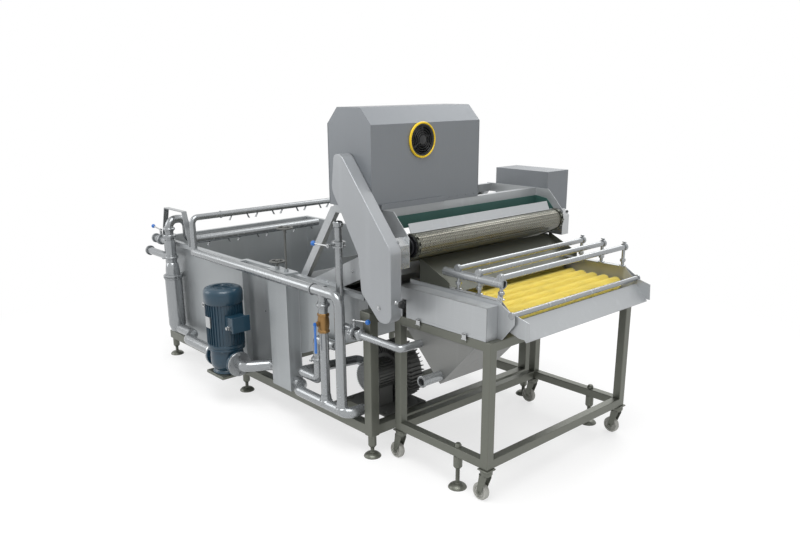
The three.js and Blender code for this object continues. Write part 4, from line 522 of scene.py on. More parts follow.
SHEET = steel("brushed sheet", "#adb0b2", 0.38, 0.5)
TANK = steel("tank sheet", "#a3a7a9", 0.40, 0.5, grain=(3, 3, 300), blotch=0.2)
# The hopper takes the tank sheet darkened: painted shade for the shadow under the brush table.
SHADE_PAINTED_PAN = steel("pan sheet with painted shade", "#7b7c7a", 0.40, 0.5, grain=(3, 3, 300), blotch=0.2)
HOOD = steel("housing sheet", "#777b7f", 0.42, 0.4, grain=(300, 300, 3), blotch=0.12, tracks=0.2)
TUBE = steel("polished pipe", "#989b9d", 0.24, 0.68, grain=(60, 60, 60),
             depth=0.05, bump=0.02, tracks=0.2)
FRAME = steel("frame tube", "#6c6e66", 0.38, 0.6, grain=(80, 80, 80), tracks=0.3)
BRIGHT = steel("machined steel", "#b4b6b7", 0.20, 0.8, grain=(200, 200, 200),
               depth=0.05, tracks=0.0, bump=0.02)
# The slide takes the tank sheet darkened a long way: painted shade for the shadow the slide lies
# in.
SHADE_PAINTED_SLIDE = steel("slide sheet with painted shade", "#55574f", 0.42, 0.5, grain=(3, 3, 300), blotch=0.2)
DARK = steel("oxide steel", "#26272a", 0.35, 0.7, grain=(90, 90, 90), depth=0.25, tracks=0.0)
GUARD = steel("guard sheet", "#9da0a3", 0.36, 0.45, grain=(300, 300, 4),
              depth=0.06, blotch=0.10, tracks=0.2)

# %% [markdown]
# Paint, castings, rubber and plastics share the third group. Brass is a dull yellow metal. The
# bristle material varies from place to place, because nylon bristle never looks like one flat
# yellow. The table at the end gives each material its slot, and what isn't listed is stainless.

# %% Paint, castings, rubber and plastics
def coated(name, code, roughness, metallic=0.0, size=260.0, depth=0.2, dust=0.15, bump=0.15,
           coat=0.0):
    material, tree, shader = new_material(name)
    made = use_group(tree, SKIN, {"Colour": colour(code), "Size": size, "Depth": depth,
                                  "Roughness": roughness, "Dust": dust})
    shader.inputs["Metallic"].default_value = metallic
    shader.inputs["Coat Weight"].default_value = coat
    wire(tree, shader, {"Base Color": made["Colour"], "Roughness": made["Roughness"],
                        "Normal": bumped(tree, made["Height"], bump)})
    return material


PAINT = coated("pump paint", "#15384a", 0.28, 0.1, dust=0.3, coat=0.4)
CAST = coated("grey casting", "#626361", 0.42, 0.55, dust=0.3, depth=0.3)
BRASS = coated("dull brass", "#96754a", 0.34, 0.85, dust=0.2, bump=0.08)
BLUE = coated("blue knob", "#1766b8", 0.28, dust=0.08, bump=0.05, coat=0.2)
BLACK = coated("black plastic", "#17181a", 0.38, dust=0.1)
YELLOW = coated("warning paint", "#e3bf17", 0.4, dust=0.12, bump=0.08)
RUBBER = coated("teal rubber", "#2f544e", 0.5, size=120.0, depth=0.3, dust=0.2)
TREAD = coated("wheel rubber", "#a9a9a3", 0.55, size=180.0, dust=0.25)
BRISTLE = coated("yellow nylon", "#fff08a", 0.5, size=420.0, depth=0.35, dust=0.25, bump=0.1)
BACKING = coated("brush backing", "#e8cf5a", 0.6, size=200.0, depth=0.3)

SLOTS = {BRIGHT: "bright_steel", FRAME: "frame_steel", DARK: "black_steel", PAINT: "pump_blue",
         CAST: "cast_grey", BRASS: "brass", BLUE: "lever_blue", BLACK: "black_plastic",
         YELLOW: "warning_yellow", TREAD: "wheel_grey", RUBBER: "teal_rubber",
         BRISTLE: "brush_yellow", BACKING: "brush_yellow"}

# %% [markdown]
# ## Camera, floor and light
# The camera was solved from the straight edges of the picture: it stands to the front left at the
# height of the housing and looks down a little. The floor and backdrop are white to the camera
# and to reflections only, so the paleness adds no light of its own to the object.

# %% Camera
CAMERA_PLACE = Vector((1829, -2131, 1650))
AZIMUTH, PITCH, ROLL = (math.radians(angle) for angle in (48.15, 16.54, -0.43))
FOCAL_PIXELS, PRINCIPAL, PHOTO = 765.4, (395.0, 313.0), (800, 560)

lens = bpy.data.cameras.new("camera")
camera = bpy.data.objects.new("camera", lens)
bpy.context.scene.collection.objects.link(camera)
forward = Vector((-math.sin(AZIMUTH) * math.cos(PITCH), math.cos(AZIMUTH) * math.cos(PITCH),
                  -math.sin(PITCH)))
turned_view = forward.to_track_quat("-Z", "Y").to_matrix().to_4x4() @ Matrix.Rotation(ROLL, 4, "Z")
camera.matrix_world = Matrix.Translation((CAMERA_PLACE + ORIGIN) * MM) @ turned_view
lens.sensor_width = 36
lens.lens = FOCAL_PIXELS / PHOTO[0] * lens.sensor_width
lens.shift_x = (PHOTO[0] / 2 - PRINCIPAL[0]) / PHOTO[0]
lens.shift_y = (PRINCIPAL[1] - PHOTO[1] / 2) / PHOTO[0]
lens.clip_end = 60
bpy.context.scene.camera = camera
bpy.context.scene.view_settings.view_transform = "Standard"

# %% World, floor and lamps
WHITE = (1, 1, 1, 1)
WORLD_LIGHT, LAMP_TARGET = 0.6, (0.2, 0.0, 0.7)


def background_mix(tree, lit, shown):
    """Shown to the camera, reflections and glass; lit for everything else."""
    path = node(tree, "ShaderNodeLightPath").outputs
    seen = math_node(tree, "MAXIMUM", path["Is Camera Ray"], path["Is Glossy Ray"])
    seen = math_node(tree, "MAXIMUM", seen, path["Is Transmission Ray"])
    return node(tree, "ShaderNodeMixShader", {0: seen, 1: lit, 2: shown}).outputs[0]


world = bpy.data.worlds.new("studio")
bpy.context.scene.world = world
world.use_nodes = True
sky = world.node_tree
plain = node(sky, "ShaderNodeBackground", {"Color": WHITE, "Strength": WORLD_LIGHT})
white = node(sky, "ShaderNodeBackground", {"Color": WHITE, "Strength": 1.0})
sky.links.new(background_mix(sky, plain.outputs[0], white.outputs[0]),
              sky.nodes["World Output"].inputs[0])


def lamp(name, place, size, power):
    """A square lamp that looks at the middle of the machine."""
    light = bpy.data.lights.new(name, "AREA")
    light.energy, light.size, light.shape = power, size, "SQUARE"
    made = bpy.data.objects.new(name, light)
    made.location = place
    made.rotation_euler = (Vector(LAMP_TARGET) - Vector(place)).to_track_quat("-Z", "Y").to_euler()
    bpy.context.scene.collection.objects.link(made)


for name, place, size, power in (("key", (1.6, -1.6, 4.8), 2.8, 150),
                                 ("side", (-3.6, -3.4, 2.6), 2.4, 50),
                                 ("back", (-0.5, 3.8, 4.2), 3.0, 90)):
    lamp(name, place, size, power)

floor_shape = bmesh.new()
bmesh.ops.create_grid(floor_shape, x_segments=1, y_segments=1, size=9)
floor_mesh = bpy.data.meshes.new("floor")
floor_shape.to_mesh(floor_mesh)
floor_shape.free()
floor = bpy.data.objects.new("floor", floor_mesh)
bpy.context.scene.collection.objects.link(floor)
floor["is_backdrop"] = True

# %% [markdown]
# The floor is a plain pale sheet that still takes the machine's shadow. To the camera and in
# reflections part of its light is its own, so that it reaches white. Far from the machine all of
# it is, so that the floor runs into the background without a horizon.

# %% Floor material
PALE, GLOW, FADE = 0.34, 0.68, (1.9, 3.2)

floor_paint, floor_tree, floor_shader = new_material("pale floor")
floor_shader.inputs["Base Color"].default_value = (0.9, 0.9, 0.9, 1)
floor_shader.inputs["Roughness"].default_value = 0.9
floor_shader.inputs["Specular IOR Level"].default_value = 0.1
shaded = node(floor_tree, "ShaderNodeBsdfDiffuse", {"Color": (PALE, PALE, PALE, 1)})
glow = node(floor_tree, "ShaderNodeEmission", {"Color": WHITE, "Strength": GLOW})
near_floor = node(floor_tree, "ShaderNodeAddShader", {0: shaded.outputs[0], 1: glow.outputs[0]})
far_floor = node(floor_tree, "ShaderNodeEmission", {"Color": WHITE, "Strength": 1.0})
distance = node(floor_tree, "ShaderNodeVectorMath", {0: object_place(floor_tree)},
                operation="LENGTH")
fade = node(floor_tree, "ShaderNodeMapRange", {
    "Value": distance.outputs["Value"], "From Min": FADE[0], "From Max": FADE[1]},
    interpolation_type="SMOOTHSTEP")
seen_floor = node(floor_tree, "ShaderNodeMixShader", {
    0: fade.outputs[0], 1: near_floor.outputs[0], 2: far_floor.outputs[0]})
floor_tree.links.new(background_mix(floor_tree, floor_shader.outputs[0], seen_floor.outputs[0]),
                     floor_tree.nodes["Material Output"].inputs[0])
floor_mesh.materials.append(floor_paint)

# %% [markdown]
# ## Carried-over nodes
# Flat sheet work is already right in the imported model: the tank, the elevator's side plates, the
# slide, the chute, the drip pan, the housing and the cabinet. So are the bearing boxes, the
# gearmotor and the pump's rotor, which show little. These nodes keep their own meshes and only
# get materials.

# %% Dress the nodes that stay
DRESS = {
    TANK: ["tank_shell"],
    SHADE_PAINTED_PAN: ["water_hopper"],
    SHEET: ["elevator_frame", "discharge_chute"],
    SHADE_PAINTED_SLIDE: ["transition_slide"],
    HOOD: ["hood_shell", "control_cabinet"],
    BRIGHT: ["head_bearing_near", "head_bearing_far"],
    PAINT: ["gearmotor"],
    FRAME: ["pump_rotor"],
}
for material, names in DRESS.items():
    for name in names:
        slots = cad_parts[name].data.materials
        slots.clear()
        slots.append(material)
print("dressed:", sum(len(names) for names in DRESS.values()))

# %% [markdown]
# ## Levelling feet
# A levelling foot is a bell-shaped pad, a screw and a tapered socket welded under the tube. The
# cart's two feet also show a domed nut on top of the rail. The screw's thread is the repeat tree
# again: one thin ring, copied up the stem.

# %% Levelling feet
PAD = [(40, 0), (41, 2), (38, 8), (30, 15), (18, 19), (12, 20), (11, 24)]
STEM_RADIUS, SOCKET_HEIGHT = 8.4, 49


def foot(shape, x, y, top):
    """One levelling foot under a tube whose underside is at top."""
    low = top - SOCKET_HEIGHT - 1
    shape.turned(PAD, (x, y, 0), Z, 40)
    shape.rod((x, y, 20), (x, y, low), STEM_RADIUS)
    ring = Shape().torus((x, y, 26), Z, STEM_RADIUS, 0.8, 16, 6)
    repeat(shape, ring, int((low - 36) / 2), step=(0, 0, 2))
    shape.turned([(12, -10), (19.5, 0), (19.5, SOCKET_HEIGHT)], (x, y, low), Z)


cart_feet, machine_feet = Shape(), Shape()
for y in (20, 980):
    foot(cart_feet, -180, y, 150)
    cart_feet.turned([(15, 0), (15, 9), (10, 17), (0, 20)], (-180, y, 190), Z, 20)
for y in (NEAR_RAIL + 25, FAR_RAIL + 25):
    for x, top in ((-2595, 110), (-1745, 110), (-647, 106)):
        foot(machine_feet, x, y, top)
piece("cart_feet", cart_feet, FRAME)
piece("frame_feet", machine_feet, FRAME)

# %% [markdown]
# ## Frames of square tube
# Square tube has rounded corners, and a Bevel modifier on plain bars gives them. Each rail is its
# own closed bar that runs into the next, as it does where tubes are coped and welded.

# %% Cart and main frame
shape = Shape()
side = 39.6
for low in (150.2, 656.2):
    for y in (0.2, 960.2):
        shape.box((-CART_LENGTH + 34, -34), (y, y + side), (low, low + side))
    for x in (-CART_LENGTH + 0.2, -39.8):
        shape.box((x, x + side), (34, 966), (low, low + side))
for x in (-20, -CART_LENGTH + 20):
    for y in (20, 980):
        shape.box((x - 20, x + 20), (y - 20, y + 20), (150, 696))
        shape.box((x - 28, x + 28), (y - 28, y + 28), (143, 150))
for x in (-398, -134):
    shape.box((x - 10, x + 10), (-4.6, 4), (668, 684))
piece("cart_tubes", shape, FRAME, replaces=["cart_frame"], edge=3.5, slot="stainless")

shape = Shape()
for y in (NEAR_RAIL, FAR_RAIL):
    shape.box((-2620, -666), (y, y + 50), (110, 160))
    shape.box((-671.8, -622.2), (y + 0.2, y + 49.8), (106, 692))
for x in (-2619.8, -1770, -985, -671.6):
    shape.box((x, x + 49.4), (-40, 1020), (110.2, 159.8))
shape.box((-689.7, -622), (NEAR_RAIL, FAR_RAIL + 50), (650, 700))
shape.box((-1775, -1605), (-284.8, -70.1), (157.5, 175))
piece("frame_tubes", shape, FRAME, replaces=["main_frame"], edge=4)

# %% [markdown]
# ## Casters
# A small swivel caster has a domed bearing crown, two pressed cheeks and a grey rubber wheel. The
# cheeks sweep back, so the wheel trails behind the pivot. Fork and wheel ride on different
# bodies.

# %% Casters
def caster(number, x, y):
    """The fork and the wheel of one caster. The axle trails behind the swivel axis at x and y."""
    trail, axle = x - 26, 38
    fork = Shape().turned([(24, 123), (26, 127), (26, 136), (22, 142.6)], (x, y, 0), Z)
    fork.turned([(14, 114), (17, 123)], (x, y, 0), Z)
    for low, high in ((-19, -15.5), (15.5, 19)):
        fork.plate([(trail - 11, 30), (trail - 7, 25), (trail + 7, 25), (trail + 11, 32),
                    (x + 13, 106), (x + 13, 125), (x - 23, 125), (x - 25, 106)],
                   (y + low, y + high))
    fork.box((x - 24, x + 12), (y - 19, y + 19), (119, 125))
    near, far = (trail, y - 19, axle), (trail, y + 19, axle)
    fork.bolt(near, -Y, 6, 5).bolt(far, Y, 6, 5).rod(near, far, 4)
    body = f"caster_fork_{number}"
    piece(f"caster_{number}_fork", fork, FRAME, body, replaces=[body], edge=0.8)
    wheel = Shape().turned([(5.3, -12), (12, -13), (14, -9), (26, -9), (28, -13), (34, -13),
                            (38, -7), (38, 7), (34, 13), (28, 13), (26, 9), (14, 9), (12, 13),
                            (5.3, 12), (5.3, -12)], (trail, y, axle), Y, 40)
    body = f"caster_wheel_{number}"
    piece(f"caster_{number}_wheel", wheel, TREAD, body, replaces=[body])


for number, (x, y) in enumerate([(-20, 20), (-20, 980), (-535, 20), (-535, 980)], 1):
    caster(number, x, y)

# %% [markdown]
# ## Tank trim
# The tank's rim is a folded flange. A small rolled bead under its outer edge and weld lines on
# the corners are what tell a real tank from a plain box.

# %% Tank rim and welds
BEAD, BEAD_Z, WELD = 3.2, 742, 2.0

shape = Shape()
outer = [(-2645, 1036), (-2645, -92), (-1675, -92), (-1675, -57)]
shape.pipe([(x, y, BEAD_Z) for x, y in outer], BEAD, 6, 10, 4)
for start, y in ((-1675, -57), (-2645, 1036)):
    shape.pipe([(start, y, BEAD_Z), (-694, y, BEAD_Z)], BEAD, 6, 10)
for x in (-1388, -1225):
    shape.pipe([(x, -37, 162), (x, -37, 735)], WELD, 2, 8)
shape.pipe([(-2618, -70.5, 161.5), (-1702, -70.5, 161.5)], 1.8, 2, 8)
piece("tank_trim", shape, SHEET)

# %% [markdown]
# Two spindles rise from the suction column at the tank's near side and work its gates. Each
# carries a cast handwheel, one standing well above the other.

# %% Handwheels
def handwheel(number, x, z, radius):
    """A rim, a hub and three arms on a threaded spindle."""
    y = COLUMN_Y
    shape = Shape().torus((x, y, z), Z, radius - 5, 5, 48, 12)
    shape.turned([(9, -14), (10, -8), (10, 5), (7, 9)], (x, y, z), Z)
    arm = Shape().pipe([(x, y, z), (x + radius / 2, y, z - 3), (x + radius - 5, y, z)],
                       3.6, 20, 10, 4)
    repeat(shape, arm, 3, axis=Z, centre=(x, y, z))
    shape.rod((x, y, 745), (x, y, z), 5.2, 16)
    thread = Shape().torus((x, y, 776), Z, 5.2, 0.8, 16, 6)
    repeat(shape, thread, int((z - 795) / 3), step=(0, 0, 3))
    name = f"handwheel_{number}"
    piece(name + "_turned", shape, CAST, name, replaces=[name])


handwheel(1, -1270, 992, 41)
handwheel(2, -1350, 813, 39)

# %% [markdown]
# ## Bubble pipes and the tail drum
# Air leaves the pipes on the tank floor through rows of small holes. Each hole has a raised lip
# here.

# %% Bubble pipes and tail drum
def drum_body(axis, near, far):
    """A drum with a toothed disc at each end and a shaft from near to far."""
    x, z = axis.x, axis.z
    shape = Shape().rod((x, 0, z), (x, 980, z), 41.5, 48)
    for side in (-9, 983):
        shape.rod((x, side, z), (x, side + 6, z), 46, 48, 1)
        teeth(shape, x, z, (side, side + 6), 44, 49, 5, 2)
    shape.rod((x, near, z), (x, far, z), 14.5, 24, 1)
    return shape


shape = Shape()
rows, z = (141.9, 490, 838.1), 178.3
for y in rows:
    shape.rod((-2560, y, z), (-1760, y, z), 15, 20, 2)
    lip = Shape().torus((-2530, y, z + 14.7), Z, 3, 1, 10, 5)
    repeat(shape, lip, 32, step=(24, 0, 0))
shape.rod((-1772, rows[0], z), (-1772, rows[-1], z), 15, 20)
piece("bubble_pipes_drilled", shape, TUBE, replaces=["bubble_pipes"])
piece("tail_drum_turned", drum_body(TAIL, -31.5, 1011.5),
      FRAME, "tail_drum", replaces=["tail_drum"])

# %% [markdown]
# The head drum shows black discs at its ends. Outside the near bearing its shaft carries two
# sprockets, which the guard hides.

# %% Head drum
x, z = HEAD.x, HEAD.z
shape = drum_body(HEAD, -130.1, 1056.5)
shape.rod((x, -19, z), (x, -9, z), 36, 40, 2)
for y in (-103.1, -123.1):
    shape.rod((x, y - 3.5, z), (x, y + 3.5, z), 18, 32)
    teeth(shape, x, z, (y - 3, y + 3), 17, 21, 3, 1)
piece("head_drum_turned", shape, DARK, "head_drum", replaces=["head_drum"])

# %% [markdown]
# ## Mesh belt
# The belt is woven wire on cross rods, with a roller chain along each edge and upright flights.
# The loop runs round both drums, so everything on it follows one closed path. A second tree
# resamples that path and puts a link at each station, turned to face along it. The weave itself
# is finer than the picture shows, so it is a brick pattern in the material, laid out by a UV map
# that unrolls the loop.
# Its gaps are not open: they are painted near black, as painted shade for the dark inside of the
# loop.

# %% The belt's path
ALONG = (HEAD - TAIL).normalized()
ABOVE = Vector((-ALONG.z, 0, ALONG.x))
BELT_RUN = (HEAD - TAIL).length
ROD_PATH, ROD_PITCH = 46.2, 12.7


def loop_path(head, tail, radius, steps=24):
    """Points and outward normals round two equal circles, anticlockwise seen from the near side."""
    along = (head - tail).normalized()
    above = Vector((-along.z, 0, along.x))
    stations = []
    for centre, start in ((head, -1), (tail, 1)):
        for step in range(steps + 1):
            angle = math.pi * step / steps
            normal = above * (start * math.cos(angle)) + along * (-start * math.sin(angle))
            stations.append((centre + normal * radius, normal))
    return stations


def chain_tree():
    """Even stations along a closed path, with an object's mesh at each one."""
    tree, given = new_tree("links on a path", [
        ("Geometry", "Geometry", None), ("Link", "Object", None), ("Count", "Int", 40),
        ("Material", "Material", None)])
    curve = node(tree, "GeometryNodeMeshToCurve", {"Mesh": given["Geometry"]})
    even = node(tree, "GeometryNodeResampleCurve", {"Curve": curve.outputs[0],
                                                    "Count": given["Count"]})
    points = node(tree, "GeometryNodeCurveToPoints", {"Curve": even.outputs[0]}, mode="EVALUATED")
    facing = node(tree, "FunctionNodeAlignRotationToVector", {"Vector": points.outputs["Tangent"]},
                  axis="X", pivot_axis="Y")
    link = node(tree, "GeometryNodeObjectInfo", {"Object": given["Link"]})
    placed = node(tree, "GeometryNodeInstanceOnPoints", {"Points": points.outputs[0],
                                                         "Instance": link.outputs["Geometry"],
                                                         "Rotation": facing.outputs[0]})
    close_tree(tree, placed.outputs[0], given["Material"])
    return tree


LINKS = chain_tree()


def links_round(path, link, count):
    """The link shape, written about the origin, repeated round a closed path of points."""
    mesh = bpy.data.meshes.new("link")
    link.bm.to_mesh(mesh)
    link.bm.free()
    holder = bpy.data.objects.new("link", mesh)
    bpy.context.scene.collection.objects.link(holder)
    ring = Shape()
    points = [ring.bm.verts.new(point) for point in path]
    for a, b in zip(points, points[1:] + points[:1]):
        ring.bm.edges.new((a, b))
    result = grown(LINKS, {"Link": holder, "Count": count}, ring)
    bpy.data.objects.remove(holder)
    return result

# %% Woven sheet with its unrolled map
def belt_material():
    """Gaps between wires, painted near black as painted shade, as bricks and their mortar."""
    material, tree, shader = new_material("woven belt")
    uv = node(tree, "ShaderNodeUVMap", uv_map="unrolled").outputs[0]
    weave = node(tree, "ShaderNodeTexBrick", {
        "Vector": uv, "Color1": (0.012, 0.012, 0.011, 1), "Color2": (0.05, 0.048, 0.04, 1),
        "Mortar": (1, 1, 1, 1), "Scale": 1.0, "Mortar Size": 0.0017, "Mortar Smooth": 0.3,
        "Brick Width": 0.0105, "Row Height": 0.0075})
    wires = weave.outputs["Fac"]
    grained = use_group(tree, GRAIN, {"Colour": colour("#8f8d80"), "Grain": (60, 60, 60),
                                      "Depth": 0.4, "Roughness": 0.3, "Spread": 0.2})
    tone = node(tree, "ShaderNodeMix", {"Factor": wires, 6: weave.outputs["Color"],
                                        7: grained["Colour"]}, data_type="RGBA")
    shader.inputs["Metallic"].default_value = 0.8
    wire(tree, shader, {"Base Color": tone.outputs[2], "Roughness": grained["Roughness"],
                        "Normal": bumped(tree, wires, 0.5, 0.0015)})
    return material


BELT = belt_material()


def belt_sheet():
    """The closed belt, with a UV map that runs along the loop and across it in metres."""
    inner, outer, edges = 43.2, 46.4, (18, 962)
    inside, outside = loop_path(HEAD, TAIL, inner), loop_path(HEAD, TAIL, outer)
    shape = Shape()
    shape.skin([[a + Y * edges[0], b + Y * edges[0], b + Y * edges[1], a + Y * edges[1]]
                for (a, _), (b, _) in zip(inside, outside)], closed=True)
    layer = shape.bm.loops.layers.uv.new("unrolled")
    lengths, total = [0.0], 0.0
    for (a, _), (b, _) in zip(outside, outside[1:] + outside[:1]):
        total += (b - a).length
        lengths.append(total)
    shape.bm.verts.index_update()
    for face in shape.bm.faces:
        rows = sorted({vertex.index // 4 for vertex in face.verts})
        wraps = rows[-1] - rows[0] > 1
        for corner in face.loops:
            row = corner.vert.index // 4
            along = lengths[-1] if wraps and row == 0 else lengths[row]
            corner[layer].uv = (along * MM, corner.vert.co.y * MM)
    return shape


piece("belt_sheet", belt_sheet(), BELT, replaces=["mesh_belt"], slot="belt_mesh")

# %% Rods, edge chains and flights
path = [point for point, _ in loop_path(HEAD, TAIL, ROD_PATH)]
shape = Shape()
count = int(round((2 * BELT_RUN + 2 * math.pi * ROD_PATH) / ROD_PITCH))
shape.take(links_round(path, Shape().rod((0, 18, 0), (0, 962, 0), 1.9, 6), count))
link = Shape()
for y in (1, 12, 968, 979):
    link.box((-11, 11), (y - 0.9, y + 0.9), (-6, 6))
for y in (0.5, 967.5):
    link.rod((0, y, 0), (0, y + 12, 0), 6.2, 12)
shape.take(links_round(path, link, count // 2))
piece("belt_chain", shape, FRAME, slot="belt_mesh")

shape = Shape()
base, tip, half, spacing = 46.5, 94, ALONG * 2, 131
for index in range(12):
    centre = HEAD - ALONG * (spacing * index)
    out = -ABOVE if index % 2 else ABOVE
    low, high = centre + out * base, centre + out * tip
    ring = [low - half, high - half, high + half, low + half]
    shape.skin([[point + Y * y for point in ring] for y in (22, 958)])
    foot_ring = [low - half, low - half + out * 3, low + half * 9 + out * 3, low + half * 9]
    shape.skin([[point + Y * y for point in foot_ring] for y in (24, 956)])
piece("belt_flights", shape, SHEET, edge=1)

# %% [markdown]
# ## Bearings, skirt and guard
# The head drum's bearings sit in chamfered boxes with four bolts each. The teal skirt under the
# cross beam is rubber sheet, so its lower edge waves a little, and a flap closes each end. The
# chain guard is one pressed case with generous radii, held by a black knob at its edge and a bolt
# near its foot.

# %% Bearing bolts and elevator fasteners
shape = Shape()
for y, way in ((-81.8, -1), (1061.8, 1)):
    for x in (-487, -438):
        for z in (945, 1040):
            shape.bolt((x, y, z), Y * way, 6, 5)
for y, way in ((-31.5, -1), (1011.5, 1)):
    for index in range(7):
        spot = HEAD - ALONG * (180 + index * 205)
        shape.bolt((spot.x, y, spot.z), Y * way, 5.5, 4)
    shape.turned([(27, 0), (27, 7), (19, 11)], (TAIL.x, y, TAIL.z), Y * way, 32)
piece("frame_bolts", shape, BRIGHT)

# %% Rubber skirt
shape = Shape()
rear, first, last, steps = PORT_X, -28, 1008, 24
rings = []
for index in range(steps + 1):
    y, bend = first + (last - first) * index / steps, math.sin(index * 1.3) * 1.6
    rings.append([(rear, y, 1112.5), (rear + 4, y, 1112.5), (rear + 6 + bend, y, 1058 + bend),
                  (rear + 2 + bend, y, 1057.5 + bend)])
shape.skin(rings)
for low, high in ((-28.2, -24.4), (1004.2, 1008)):
    shape.plate([(rear, 1113), (rear + 70, 1104), (rear + 112, 1062), (rear + 110, 1046),
                 (rear, 1046)], (low, high))
piece("skirt_sheet", shape, RUBBER, replaces=["exit_skirt"], edge=0.6)

# %% Chain guard
def rounded(corners, steps=10):
    """An outline whose corners, given as (x, z, radius), are rounded."""
    outline = []
    for index, (x, z, radius) in enumerate(corners):
        corner = Vector((x, z))
        into = (corner - Vector(corners[index - 1][:2])).normalized()
        out = (Vector(corners[(index + 1) % len(corners)][:2]) - corner).normalized()
        turn = math.atan2(into.x * out.y - into.y * out.x, into.dot(out))
        start = corner - into * radius * math.tan(abs(turn) / 2)
        side = Vector((-into.y, into.x)) * math.copysign(radius, turn)
        centre = start + side
        for step in range(steps + 1):
            arm = Matrix.Rotation(turn * step / steps, 2) @ (start - centre)
            outline.append(tuple(centre + arm))
    return outline


GUARD_OUTLINE = [
    (-493, 702, 45), (-417, 702, 45), (-417, 1016, 60), (-723, 1378, 40), (-772, 1378, 25),
    (-792, 1228, 60), (-622, 966, 60), (-606, 808, 30),
]
GUARD_FACE, GUARD_BACK = -142.1, -82.1
KNOB = (-416.7, (GUARD_FACE + GUARD_BACK) / 2, 795)

case = Shape().plate(rounded(GUARD_OUTLINE), (GUARD_FACE, GUARD_BACK))
piece("guard_case", case, GUARD, replaces=["chain_guard"], edge=3)
bolt = Shape().bolt((-491, GUARD_FACE, 763), -Y, 8, 6)
bolt.rod((-491, -151, 763), (-491, -142, 763), 4, 12)
piece("guard_bolt", bolt, BRIGHT)
knob = Shape().turned([(8, 24), (14, 26), (15, 31), (15, 36), (13, 40)], KNOB, X, 28)
lobe = Shape().rod((-388, KNOB[1], 809), (-379, KNOB[1], 809), 3, 10)
repeat(knob, lobe, 8, axis=X, centre=KNOB)
neck = Shape().turned([(10, 0.2), (7, 6), (7, 24)], KNOB, X, 20)
piece("guard_knob_grip", knob, BLACK, "guard_knob", replaces=["guard_knob"])
piece("guard_knob_neck", neck, BRIGHT, "guard_knob")

# %% [markdown]
# ## Housing, fan and cabinet
# The fan housing is folded sheet: its seams show as thin raised lines, and a row of rivets runs
# along its lower edge. The yellow ring holds a black wire guard in front of the fan.

# %% Housing seams and port
shape = Shape()
front, back, near, far, bottom, side = -597, -885, -81.5, 568.5, 1150.3, 1498.3
for y in (near, far):
    for x in (front, back):
        shape.pipe([(x, y, bottom + 2), (x, y, side)], 1.5, 2, 8)
for x in (front + 0.2, back - 0.2):
    shape.box((x - 1, x + 1), (near + 6, far - 6), (bottom, bottom + 10))
for x, way in ((front + 1, X), (back - 1, -X)):
    rivet = Shape().turned([(4, 0), (3, 1.6), (0, 2.2)], (x, near + 20, bottom + 16), way, 10)
    repeat(shape, rivet, 12, step=(0, 55, 0))
piece("hood_trim", shape, HOOD, slot="hood_grey")

y, z, port = PORT_Y, PORT_Z, (PORT_X, PORT_Y, PORT_Z)
shape = Shape().turned([(68, 0), (76, 0), (77, 3), (75, 8), (70, 9), (68, 6), (68, 0)], port, X, 64)
piece("port_ring", shape, YELLOW, replaces=["fan_ring"])

shape = Shape().turned([(60.5, 0), (67.8, 0), (67.8, 6), (63, 6), (60.5, 4), (60.5, 0)],
                       port, X, 64)
for radius in (26, 36, 46, 56):
    shape.torus((-592, y, z), X, radius, 1.4, 48, 6)
arm = Shape().rod((-592, y, z), (-592, y, z + 62), 2.2, 8)
repeat(shape, arm, 3, axis=X, centre=port)
shape.turned([(20, 0), (20, 3), (14, 5), (0, 5.5)], (-594, y, z), X, 32)
shape.rod((-630, y, z), (-592, y, z), 5.6, 16)
piece("port_guard", shape, BLACK)

shape = Shape().turned([(6.6, -27), (18, -26), (18, -6), (14, -3.2), (6.6, -3.2), (6.6, -27)],
                       (-599, y, z), X, 32)
rings = []
for step in range(7):
    reach = 14 + step * 6.8
    twist = 0.95 - step * 0.09
    chord = 11 + step * 0.9
    direction = Vector((math.cos(math.pi / 2 - twist), math.sin(math.pi / 2 - twist), 0))
    normal = Vector((direction.y, -direction.x, 0))
    middle = Vector((-614, y, z + reach))
    rings.append([middle + direction * chord + normal, middle - direction * chord + normal,
                  middle - direction * chord - normal, middle + direction * chord - normal])
repeat(shape, Shape().skin(rings), 6, axis=X, centre=port)
piece("fan_blades", shape, BLACK, "hood_fan", replaces=["hood_fan"])

# %% Cabinet door and hinges
shape = Shape().box((-866, -528), (1167.8, 1179.8), (1030, 1232))
shape.box((-860, -534), (1179, 1181), (1036, 1226))
piece("cabinet_door_panel", shape, HOOD, "cabinet_door", replaces=["cabinet_door"], edge=2)

shape = Shape().box((-558, -542), (1179, 1184), (1096, 1166))
shape.pipe([(-550, 1182, 1104), (-550, 1191.7, 1108), (-550, 1191.7, 1154), (-550, 1182, 1158)],
           4, 5, 12)
for z in (1062, 1186):
    shape.rod((-868.5, 1174, z), (-868.5, 1174, z + 26), 4, 14, 0.8)
piece("cabinet_door_fittings", shape, BLACK, "cabinet_door", edge=0.8)

# %% [markdown]
# ## Brush rollers
# Each roller is a steel shaft and a backing with tufts of nylon pushed in along a slow spiral. A
# tuft is a short cone, a little different in lean and length each time. The tree makes its own
# points from an index, so one fixed seed gives the same brush on every run.

